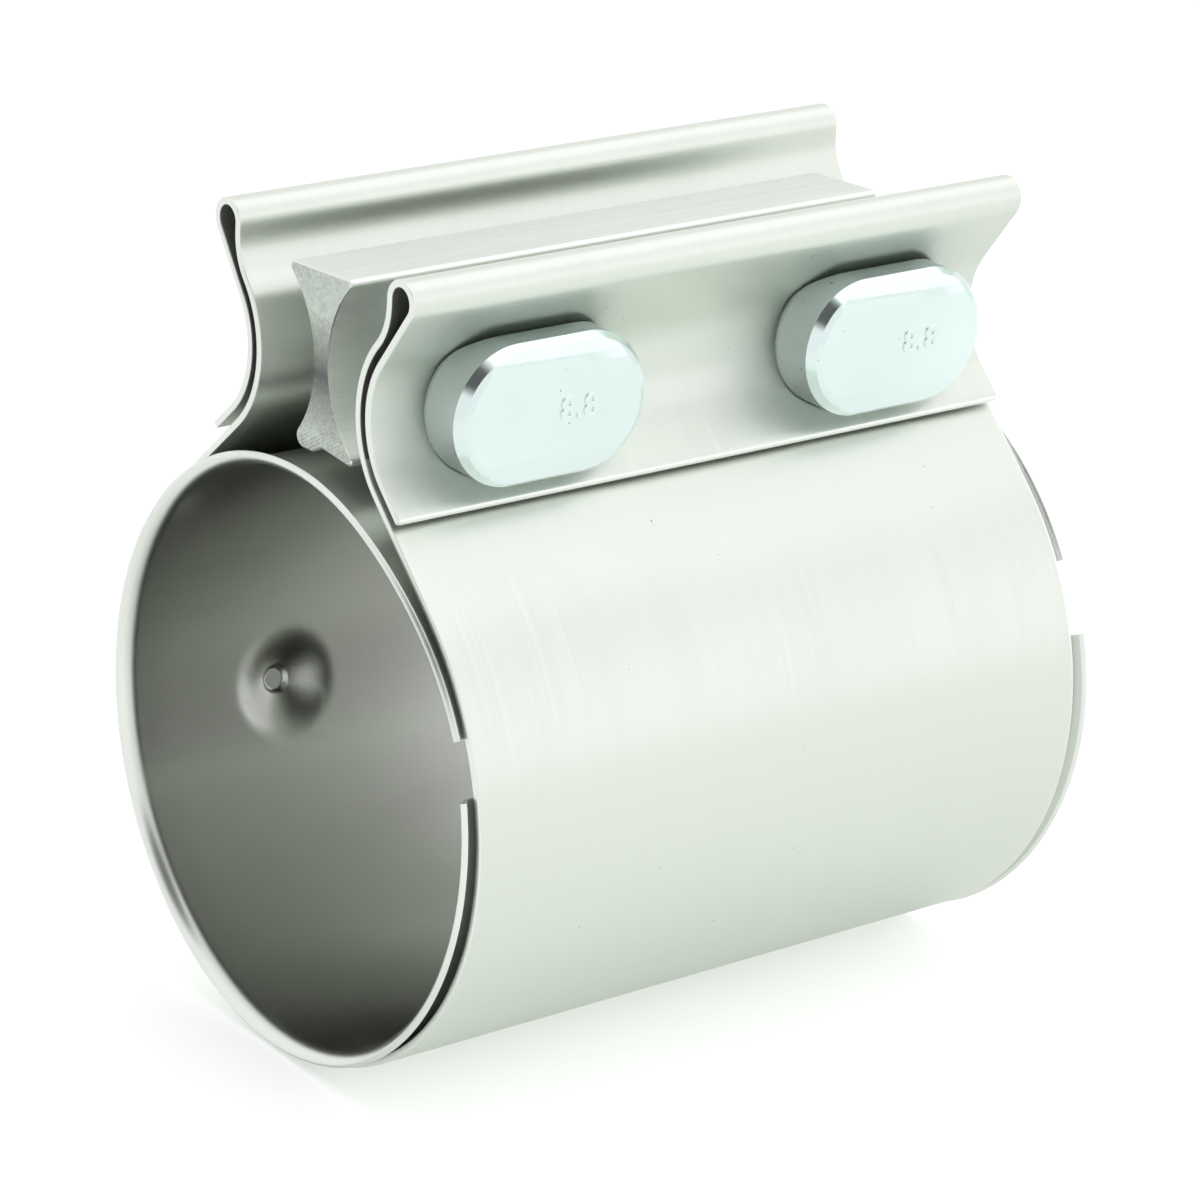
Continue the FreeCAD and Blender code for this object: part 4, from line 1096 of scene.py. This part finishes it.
@dataclass
class SpacerBar:
    """Drawn bar of hourglass section, sawn to length, that leans between the flanges."""

    sizes: ClampSizes
    finishes: Finishes
    level: float = 54.0
    shift: float = 0.7
    lean: float = 4.0
    front: float = -47.7
    rear: float = 37.3
    waist: float = 3.0
    side_ease: float = 0.2
    edge_inset: float = 2.7
    tip_round: float = 0.65
    heel_round: float = 1.3
    notch: float = 0.9
    rise: float = 2.5
    end_bevel: float = 0.22
    tip_steps: int = 8
    side_steps: int = 34
    length_step: float = 6.0
    inset_x: float = 8.0
    inset_z: float = 12.0
    drill_reach: float = 20.0

    def outline(self) -> list[Pair]:
        """Section of the bar about its own middle, before it leans."""
        side_radius = self.sizes.waist_radius + self.side_ease
        half = side_radius - self.edge_inset
        side_x = self.waist / 2 + side_radius
        steps, pi = self.tip_steps, math.pi

        def corner(rounding: float) -> Pair:
            """X of a corner's centre and the side's angle where it meets the corner."""
            level, reach = half - rounding, side_radius + rounding
            return side_x - math.sqrt(reach ** 2 - level ** 2), math.asin(level / reach)

        tip_x, tip_turn = corner(self.tip_round)
        heel_x, heel_turn = corner(self.heel_round)
        tip_z, heel_z = half - self.tip_round, half - self.heel_round
        points = circle_points((tip_x, tip_z), self.tip_round, pi / 2, -tip_turn, steps)
        points += circle_points((side_x, 0), side_radius, pi - tip_turn, pi + tip_turn, self.side_steps)
        points += circle_points((tip_x, -tip_z), self.tip_round, tip_turn, -pi / 2, steps)
        points += [(0.0, self.notch - half), (-heel_x / 2, -half)]
        points += circle_points((-heel_x, -heel_z), self.heel_round, 3 * pi / 2, pi - heel_turn, steps)
        points += circle_points((-side_x, 0), side_radius, -heel_turn, tip_turn, self.side_steps)
        points += circle_points((-tip_x, tip_z), self.tip_round, pi + tip_turn, pi / 2, steps)
        return without_doubles([(pair, BAR) for pair in points])[0]

    def build(self) -> list[Piece]:
        """Build the bar and drill its bolt holes."""
        sizes, finishes = self.sizes, self.finishes
        outline = self.outline()
        turn = math.radians(self.lean)
        soft = self.end_bevel
        draft = MeshDraft()

        def add_ring(y: float, depth: float = 0.0) -> list[int]:
            """Add the section, leaned, at a place along the bar, drawn in by about a depth."""
            section = [(x * (1 - depth / self.inset_x), z * (1 - depth / self.inset_z)) for x, z in outline]
            return draft.add_loop([Vector((self.shift + x * math.cos(turn) - z * math.sin(turn), y,
                                           self.level + x * math.sin(turn) + z * math.cos(turn)))
                                   for x, z in section])

        low, high = self.front + soft, self.rear - soft
        lengths = [low, *spaced(low + 2 * soft, high - 2 * soft, self.length_step), high]
        rings = [add_ring(self.front, soft), *map(add_ring, lengths), add_ring(self.rear, soft)]
        tips = (*range(1, self.tip_steps - 1), *range(len(outline) - self.tip_steps, len(outline) - 2))
        sides = [BAR_EDGE if side in tips else BAR for side in range(len(outline))]
        for number, (first, second) in enumerate(zip(rings, rings[1:])):
            draft.bridge(first, second, BAR_EDGE if number in (0, len(rings) - 2) else sides)
        draft.add_face(rings[0], BAR_END)
        draft.add_face(rings[-1][::-1], BAR_END)
        piece = draft.build("bar", materials_of(finishes.bar, finishes.sawn, finishes.edge))
        drills = []
        for end in End:
            drill = round_tool([(sign * self.drill_reach, sizes.hole_radius) for sign in (-1, 1)],
                               (end.value * sizes.bolt_place, -self.rise))
            drill.rotation_euler = Euler((0, -turn, 0))
            drill.location = Vector((self.shift, 0, self.level)) * MM
            drills.append(drill)
        bpy.context.view_layer.update()
        cut_away(piece, drills)
        return [Piece(piece, Body.BAR, ("spacer_bar",), "bar_steel")]


class CutBlock:
    """Convex block: a box with flat faces cut off it, in millimetres about a bolt's axis."""

    end_step = math.radians(5)
    seat_sweep = 60
    seat_step = 4.5
    sharp_angle = math.radians(17)

    def __init__(self, low: float, high: float, reach: float) -> None:
        """Start with a box.

        Args:
            low: Lowest X.
            high: Highest X.
            reach: Distance of its sides from the axis.
        """
        self.shape = bmesh.new()
        box = Matrix.LocRotScale(((low + high) / 2, 0, 0), None, (high - low, 2 * reach, 2 * reach))
        bmesh.ops.create_cube(self.shape, size=1, matrix=box)

    def cut(self, point: Triple, outward: Triple) -> None:
        """Cut off what lies beyond a plane.

        Args:
            point: A point of the plane.
            outward: The direction that it faces.
        """
        shape = self.shape
        cut = bmesh.ops.bisect_plane(shape, geom=[*shape.verts, *shape.edges, *shape.faces], dist=1e-5,
                                     plane_co=point, plane_no=Vector(outward).normalized(), clear_outer=True)
        rim = [item for item in cut["geom_cut"] if isinstance(item, bmesh.types.BMEdge)]
        if len(rim) > 2:
            bmesh.ops.edgeloop_fill(shape, edges=rim)

    def bevel_ends(self, radius: float, reach: float, turn: float, x: float, way: int) -> None:
        """Cut along an oblong outline: its walls, or a bevel that follows its round ends.

        Args:
            radius: Radius of the outline's round ends.
            reach: Distance of their centres from the axis.
            turn: Angle between the bevel and the face that it starts from, in radians.
            x: X at which the bevel passes through the outline.
            way: 1 for a bevel that faces +X, -1 for one that faces -X.
        """
        for sign in (-1, 1):
            for angle in spaced(-math.pi / 2, math.pi / 2, self.end_step):
                across = (sign * math.cos(angle), math.sin(angle))
                self.cut((x, sign * reach + radius * across[0], radius * across[1]),
                         (way * math.cos(turn), math.sin(turn) * across[0], math.sin(turn) * across[1]))

    def seat(self, sizes: ClampSizes, way: int) -> None:
        """Cut an oblong outline, with one side rounded to lie in a trough.

        Args:
            sizes: Sizes of the clamp.
            way: 1 for a round side that faces +X, -1 for one that faces -X.
        """
        self.bevel_ends(sizes.half_head_height, sizes.head_reach, math.pi / 2, 0, 1)
        for angle in spaced(-self.seat_sweep, self.seat_sweep, self.seat_step):
            turn = math.radians(angle)
            self.cut((way * (sizes.seat_radius * math.cos(turn) - sizes.trough_centre), 0,
                      sizes.seat_radius * math.sin(turn)), (way * math.cos(turn), 0, math.sin(turn)))

    def finished(self, name: str, soft: float, steps: int = 4) -> bpy.types.Mesh:
        """Round the sharp edges.

        Args:
            name: Name of the mesh.
            soft: Width of the rounding.
            steps: Faces across it.

        Returns:
            The mesh, in metres, about the origin.
        """
        shape = self.shape
        bmesh.ops.remove_doubles(shape, verts=shape.verts, dist=1e-4)
        bmesh.ops.recalc_face_normals(shape, faces=shape.faces)
        sharp = [edge for edge in shape.edges if edge.calc_face_angle(0) > self.sharp_angle]
        bmesh.ops.bevel(shape, geom=sharp, offset=soft, segments=steps, profile=0.5, affect="EDGES",
                        clamp_overlap=True)
        bmesh.ops.scale(shape, vec=(MM, MM, MM), verts=shape.verts)
        mesh = bpy.data.meshes.new(name)
        shape.to_mesh(mesh)
        shape.free()
        return mesh


def make_piece(name: str, mesh: bpy.types.Mesh, place: Vector, materials: Sequence[bpy.types.Material],
               tools: Sequence[bpy.types.Object] = ()) -> bpy.types.Object:
    """Make an object of a finished block, cut its holes and keep its flat faces flat in shading.

    Args:
        name: Name of the object.
        mesh: Its mesh about the origin, in metres.
        place: Where the origin goes, in millimetres.
        materials: Its materials.
        tools: What is cut out of it.

    Returns:
        The object, with its place in its mesh.
    """
    mesh.transform(Matrix.Translation(place * MM))
    for material in materials:
        mesh.materials.append(material)
    piece = new_object(name, mesh)
    if tools:
        cut_away(piece, tools)
    else:
        tidy_mesh(piece)
    normals = piece.modifiers.new("flat_faces", "WEIGHTED_NORMAL")
    normals.keep_sharp = True
    return piece


def join(piece: bpy.types.Object, other: bpy.types.Object) -> None:
    """Add the mesh of another object to a piece, and remove the other.

    Args:
        piece: Mesh object that takes the other in.
        other: Mesh object with the same materials.
    """
    shape = bmesh.new()
    shape.from_mesh(piece.data)
    shape.from_mesh(other.data)
    shape.to_mesh(piece.data)
    shape.free()
    bpy.data.objects.remove(other)


@dataclass
class OnBolt:
    """Piece that sits on one of the two bolts."""

    sizes: ClampSizes
    finishes: Finishes
    end: End

    @property
    def axis(self) -> Pair:
        """Y and Z of the bolt's axis."""
        return self.sizes.axis(self.end)

    @property
    def place(self) -> Vector:
        """Point of the bolt's axis in the middle plane."""
        return Vector((0, *self.axis))


@dataclass
class Bolt(OnBolt):
    """Oblong-head bolt with a plain shank, a rolled thread and its strength grade on the head."""

    length: float = 50.0
    shank_length: float = 12.0
    shank_root: float = 2.0
    pitch: float = 1.5
    thread_depth: float = 0.75
    thread_form: tuple[Pair, ...] = ((0.0, 0.0), (0.22, 0.0), (0.5, 1.0), (0.66, 1.0))
    sides: int = 48
    head_thickness: float = 10.0
    facet: float = 3.6
    slope: float = 0.75
    end_bevel: float = 1.6
    end_bevels: tuple[Pair, ...] = ((27, 0.5), (56, 1.0))
    undercut: float = 3.4
    undercut_turns: tuple[float, ...] = (15, 30, 45, 60, 75)
    edge_round: float = 0.4
    wall_lean: float = 0.3
    grade: str = "8.8"
    grade_height: float = 4.3
    grade_spacing: float = 1.12
    grade_relief: float = 0.16
    grade_round: float = 0.07
    grade_weight: float = 0.04
    grade_place: float = 3.4

    @property
    def floor(self) -> float:
        """X of the middle line of the head's round underside."""
        return self.sizes.seat_floor

    def head(self) -> bpy.types.Mesh:
        """Oblong head: flat strip between sloping facets, bevelled ends and a round underside."""
        sizes = self.sizes
        radius, reach = sizes.half_head_height, sizes.head_reach
        face = self.floor + self.head_thickness
        block = CutBlock(self.floor, face, sizes.head_length)
        block.seat(sizes, -1)
        for side in (-1, 1):
            block.cut((face, 0, side * (radius - self.facet)), (self.facet, 0, side * self.slope))
        for angle, share in self.end_bevels:
            block.bevel_ends(radius, reach, math.radians(angle), face - self.end_bevel * share, 1)
        for turn in map(math.radians, self.undercut_turns):
            gap = math.tan((math.pi / 2 - turn) / 2) * self.undercut
            block.bevel_ends(radius, reach, turn, self.floor + self.undercut - gap, -1)
        return block.finished("head", self.edge_round)

    def thread(self, draft: MeshDraft) -> None:
        """Add thread, shank and point to a draft.

        Args:
            draft: Mesh that they become part of.
        """
        form, sides = self.thread_form, self.sides
        core = self.sizes.bolt_radius - self.thread_depth
        start = self.floor - self.shank_length
        tail = self.floor - self.length
        turns = math.ceil((start - tail) / self.pitch) + 1
        y, z = self.axis

        def corner(step: int, number: int) -> Vector:
            """Point of the helix.

            Args:
                step: Step round the bolt.
                number: Place in the turns of the thread's form.

            Returns:
                The point, kept within the thread's length and the bolt's bevelled point.
            """
            turn, place = divmod(number, len(form))
            share, height = form[place]
            x = start + self.pitch - (turn + share + step / sides) * self.pitch
            run_in = min(max((start - x) / self.pitch, 0), 1)
            radius = core + self.thread_depth * (1 - (1 - height) * run_in)
            radius = min(radius, core - self.thread_depth + max(x - tail, 0))
            x = min(max(x, tail), start)
            angle = math.tau * step / sides
            return Vector((x, y + radius * math.cos(angle), z + radius * math.sin(angle)))

        columns = [draft.add_loop([corner(step, number) for number in range((turns + 1) * len(form))])
                   for step in range(sides + 1)]
        for first, second in zip(columns, columns[1:]):
            draft.bridge(first, second, THREAD, closed=False)
        shank = (start, (start + self.floor) / 2, self.floor + self.shank_root)
        draft.add_tube([(x, self.sizes.bolt_radius) for x in shank], self.axis, sides, closed_start=False)
        draft.add_face(draft.add_ring(tail, core - self.thread_depth, self.axis, sides), THREAD)

    def number(self) -> bpy.types.Object:
        """Raised strength grade on the head's flat strip."""
        name = f"grade_{self.end.word}"
        curve = bpy.data.curves.new(name, "FONT")
        curve.body = self.grade
        curve.align_x = "CENTER"
        curve.align_y = "CENTER"
        curve.size = self.grade_height * MM
        curve.space_character = self.grade_spacing
        curve.extrude = self.grade_relief * MM
        curve.bevel_depth = self.grade_round * MM
        curve.bevel_resolution = 2
        curve.offset = self.grade_weight * MM
        source = new_object("grade_outline", curve)
        mesh = evaluated_mesh(source)
        bpy.data.objects.remove(source)
        mesh.materials.clear()
        mesh.materials.append(self.finishes.bolt.material())
        for face in mesh.polygons:
            face.use_smooth = False
        piece = new_object(name, mesh)
        y, z = self.axis
        piece.rotation_euler = Euler((math.pi / 2, 0, math.pi / 2))
        piece.location = Vector((self.floor + self.head_thickness, y + self.grade_place, z)) * MM
        return piece

    def build(self) -> list[Piece]:
        """Build the bolt and its number."""
        finishes = self.finishes
        draft = MeshDraft()
        self.thread(draft)
        materials = materials_of(finishes.bolt, finishes.thread, finishes.forged_wall_and_painted_shade)
        threaded = draft.build("threaded_end", materials)
        piece = make_piece(f"bolt_{self.end.word}_piece", self.head(), self.place, materials)
        # Faces of the head that turn away from its flat top take the wall finish, whose darker colour is
        # painted shade.
        for face in piece.data.polygons:
            if face.normal.x < self.wall_lean:
                face.material_index = HEAD_WALL
        join(piece, threaded)
        return [Piece(piece, Body.CLAMP, (f"bolt_{self.end.word}",), "bolt_steel"),
                Piece(self.number(), Body.CLAMP, (), "bolt_steel")]


@dataclass
class Saddle(OnBolt):
    """Washer that rolls in the left flange's trough, with a flat back for the nut."""

    thickness: float = 6.0
    bevel: float = 0.8
    edge_round: float = 0.3

    def build(self) -> list[Piece]:
        """Build the saddle with its hole."""
        sizes, word = self.sizes, self.end.word
        back = sizes.seat_floor + self.thickness
        block = CutBlock(-back, -sizes.seat_floor, sizes.head_length)
        block.seat(sizes, 1)
        for side in (-1, 1):
            block.cut((-back, 0, side * (sizes.half_head_height - self.bevel)), (-1, 0, side))
        hole = round_tool([(-back - 1, sizes.hole_radius), (0, sizes.hole_radius)], self.axis)
        piece = make_piece(f"saddle_{word}_piece", block.finished("saddle", self.edge_round), self.place,
                           [self.finishes.saddle.material()], [hole])
        return [Piece(piece, Body[f"{self.end.name}_SADDLE"], (f"saddle_{word}",), "saddle_steel")]


@dataclass
class Nut(OnBolt):
    """Hexagon nut, bevelled on its outer face, with a countersunk bore round the thread."""

    across_flats: float = 16.0
    height: float = 8.4
    seat: float = 19.8
    bevel: float = 30.0
    bevel_step: float = 4.5
    face_share: float = 0.95
    thread_room: float = 0.04
    countersink: float = 0.7
    edge_round: float = 0.15

    def build(self) -> list[Piece]:
        """Build the nut."""
        half, word = self.across_flats / 2, self.end.word
        outer, inner = -self.seat - self.height, -self.seat
        block = CutBlock(outer, inner, self.across_flats)
        for turn in (math.radians(60 * side) for side in range(6)):
            block.cut((outer, half * math.cos(turn), half * math.sin(turn)),
                      (0, math.cos(turn), math.sin(turn)))
        narrow, fall = half * self.face_share, math.radians(self.bevel)
        for turn in map(math.radians, spaced(0, 360, self.bevel_step)[:-1]):
            block.cut((outer, narrow * math.cos(turn), narrow * math.sin(turn)),
                      (-math.cos(fall), math.sin(fall) * math.cos(turn), math.sin(fall) * math.sin(turn)))
        radius = self.sizes.bolt_radius + self.thread_room
        wide = radius + self.countersink + 1
        bore = round_tool([(outer - 1, wide), (outer + self.countersink, radius),
                           (inner - self.countersink, radius), (inner + 1, wide)], self.axis)
        piece = make_piece(f"nut_{word}_piece", block.finished("nut", self.edge_round, 3), self.place,
                           [self.finishes.nut.material()], [bore])
        return [Piece(piece, Body[f"{self.end.name}_NUT"], (f"nut_{word}",), "nut_steel")]


@dataclass(frozen=True)
class SoftBox:
    """Rectangular studio lamp aimed at the clamp."""

    name: str
    place: Triple
    size: Pair
    glow: float

    def build(self) -> None:
        """Hang the lamp, facing the middle of the clamp."""
        lamp = bpy.data.lights.new(self.name, "AREA")
        lamp.shape = "RECTANGLE"
        lamp.size, lamp.size_y = self.size
        lamp.energy = self.glow * math.pi * self.size[0] * self.size[1]
        holder = new_object(self.name, lamp)
        holder.location = self.place
        holder.rotation_euler = (-Vector(self.place)).to_track_quat("-Z", "Y").to_euler()


@dataclass
class Studio:
    """Pale floor, soft lamps, white surroundings and the camera of the photograph."""

    floor_level: float = -41.0
    floor_reach: float = 4000.0
    floor_colour: Colour = (0.86, 0.88, 0.86)
    floor_glow: float = 0.42
    mirrored_glow: float = 0.15
    dark_side: Triple = (0.40, -0.56, 0.72)
    dark_tone: float = 0.12
    dark_from: float = 0.895
    dark_full: float = 0.97
    pale_tone: float = 0.97
    camera_place: Triple = (467.38, -373.59, 247.95)
    camera_turn: Triple = (68.498, -3.240, 52.671)
    lens: float = 144.26
    lamps: tuple[SoftBox, ...] = (
        SoftBox("overhead", (0.15, 0.35, 0.95), (1.2, 1.0), 0.45),
        SoftBox("right_back", (1.0, 0.75, 0.45), (1.2, 0.9), 0.32),
    )

    def build(self) -> None:
        """Set the whole stage."""
        self._floor()
        self._surroundings()
        for lamp in self.lamps:
            lamp.build()
        self._camera()
        bpy.context.scene.view_settings.view_transform = "Standard"

    def _floor(self) -> None:
        """Lay the floor."""
        reach, level = self.floor_reach, self.floor_level
        draft = MeshDraft()
        draft.add_face(draft.add_loop([Vector((x * reach, y * reach, level))
                                       for x, y in ((-1, -1), (1, -1), (1, 1), (-1, 1))]))
        nodes = MaterialNodes("pale_floor")
        paper = nodes.add("ShaderNodeBsdfDiffuse", {"Color": tinted(self.floor_colour)})
        path = nodes.add("ShaderNodeLightPath")
        mirrored = nodes.math("MAXIMUM", path.outputs["Is Glossy Ray"], path.outputs["Is Transmission Ray"])
        strength = nodes.weigh(path.outputs["Is Camera Ray"], self.floor_glow, mirrored, self.mirrored_glow)
        glow = nodes.add("ShaderNodeEmission", {"Color": tinted(WHITE), "Strength": strength})
        both = nodes.add("ShaderNodeAddShader", {0: paper.outputs["BSDF"], 1: glow.outputs["Emission"]})
        nodes.feed(nodes.output.inputs["Surface"], both.outputs["Shader"])
        draft.build("floor", [nodes.material])

    def _surroundings(self) -> None:
        """White surroundings, with the dim side of the studio in front of the clamp."""
        world = bpy.data.worlds.new("studio")
        bpy.context.scene.world = world
        world.use_nodes = True
        nodes = Nodes(world.node_tree)
        place = nodes.add("ShaderNodeTexCoord")
        facing = nodes.add("ShaderNodeVectorMath", {0: place.outputs["Generated"],
                                                    1: Vector(self.dark_side).normalized()},
                           operation="DOT_PRODUCT")
        shade = nodes.spread(facing.outputs["Value"], 0.0, 1.0, self.dark_from, self.dark_full)
        tone = nodes.blend(shade, tinted(WHITE, self.pale_tone), tinted(WHITE, self.dark_tone))
        path = nodes.add("ShaderNodeLightPath")
        colour = nodes.blend(path.outputs["Is Camera Ray"], tone, tinted(WHITE))
        sky = nodes.add("ShaderNodeBackground", {"Color": colour})
        nodes.add("ShaderNodeOutputWorld", {"Surface": sky.outputs["Background"]})

    def _camera(self) -> None:
        """Stand the camera where the photograph was taken."""
        lens = bpy.data.cameras.new("camera")
        lens.lens = self.lens
        lens.sensor_width = 36.0
        lens.clip_start = 0.01
        camera = new_object("camera", lens)
        camera.location = Vector(self.camera_place) * MM
        camera.rotation_euler = Euler([math.radians(angle) for angle in self.camera_turn])
        bpy.context.scene.camera = camera


def main() -> None:
    """Load the frame, build and dress every piece, and set the stage."""
    logging.basicConfig(level=logging.INFO, format="%(name)s: %(message)s")
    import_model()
    sizes, finishes = ClampSizes(), Finishes()
    parts = [OuterBand(sizes, finishes), InnerSleeve(sizes, finishes), SpacerBar(sizes, finishes)]
    for end in End:
        parts += [Bolt(sizes, finishes, end), Saddle(sizes, finishes, end), Nut(sizes, finishes, end)]
    for part in parts:
        for piece, body, nodes, slot in part.build():
            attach(piece, body.value)
            if nodes:
                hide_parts(*nodes)
            LOG.info("%s rides on %s", piece.name, body.value)
    Studio().build()
    bpy.context.view_layer.update()


if __name__ == "__main__":
    main()
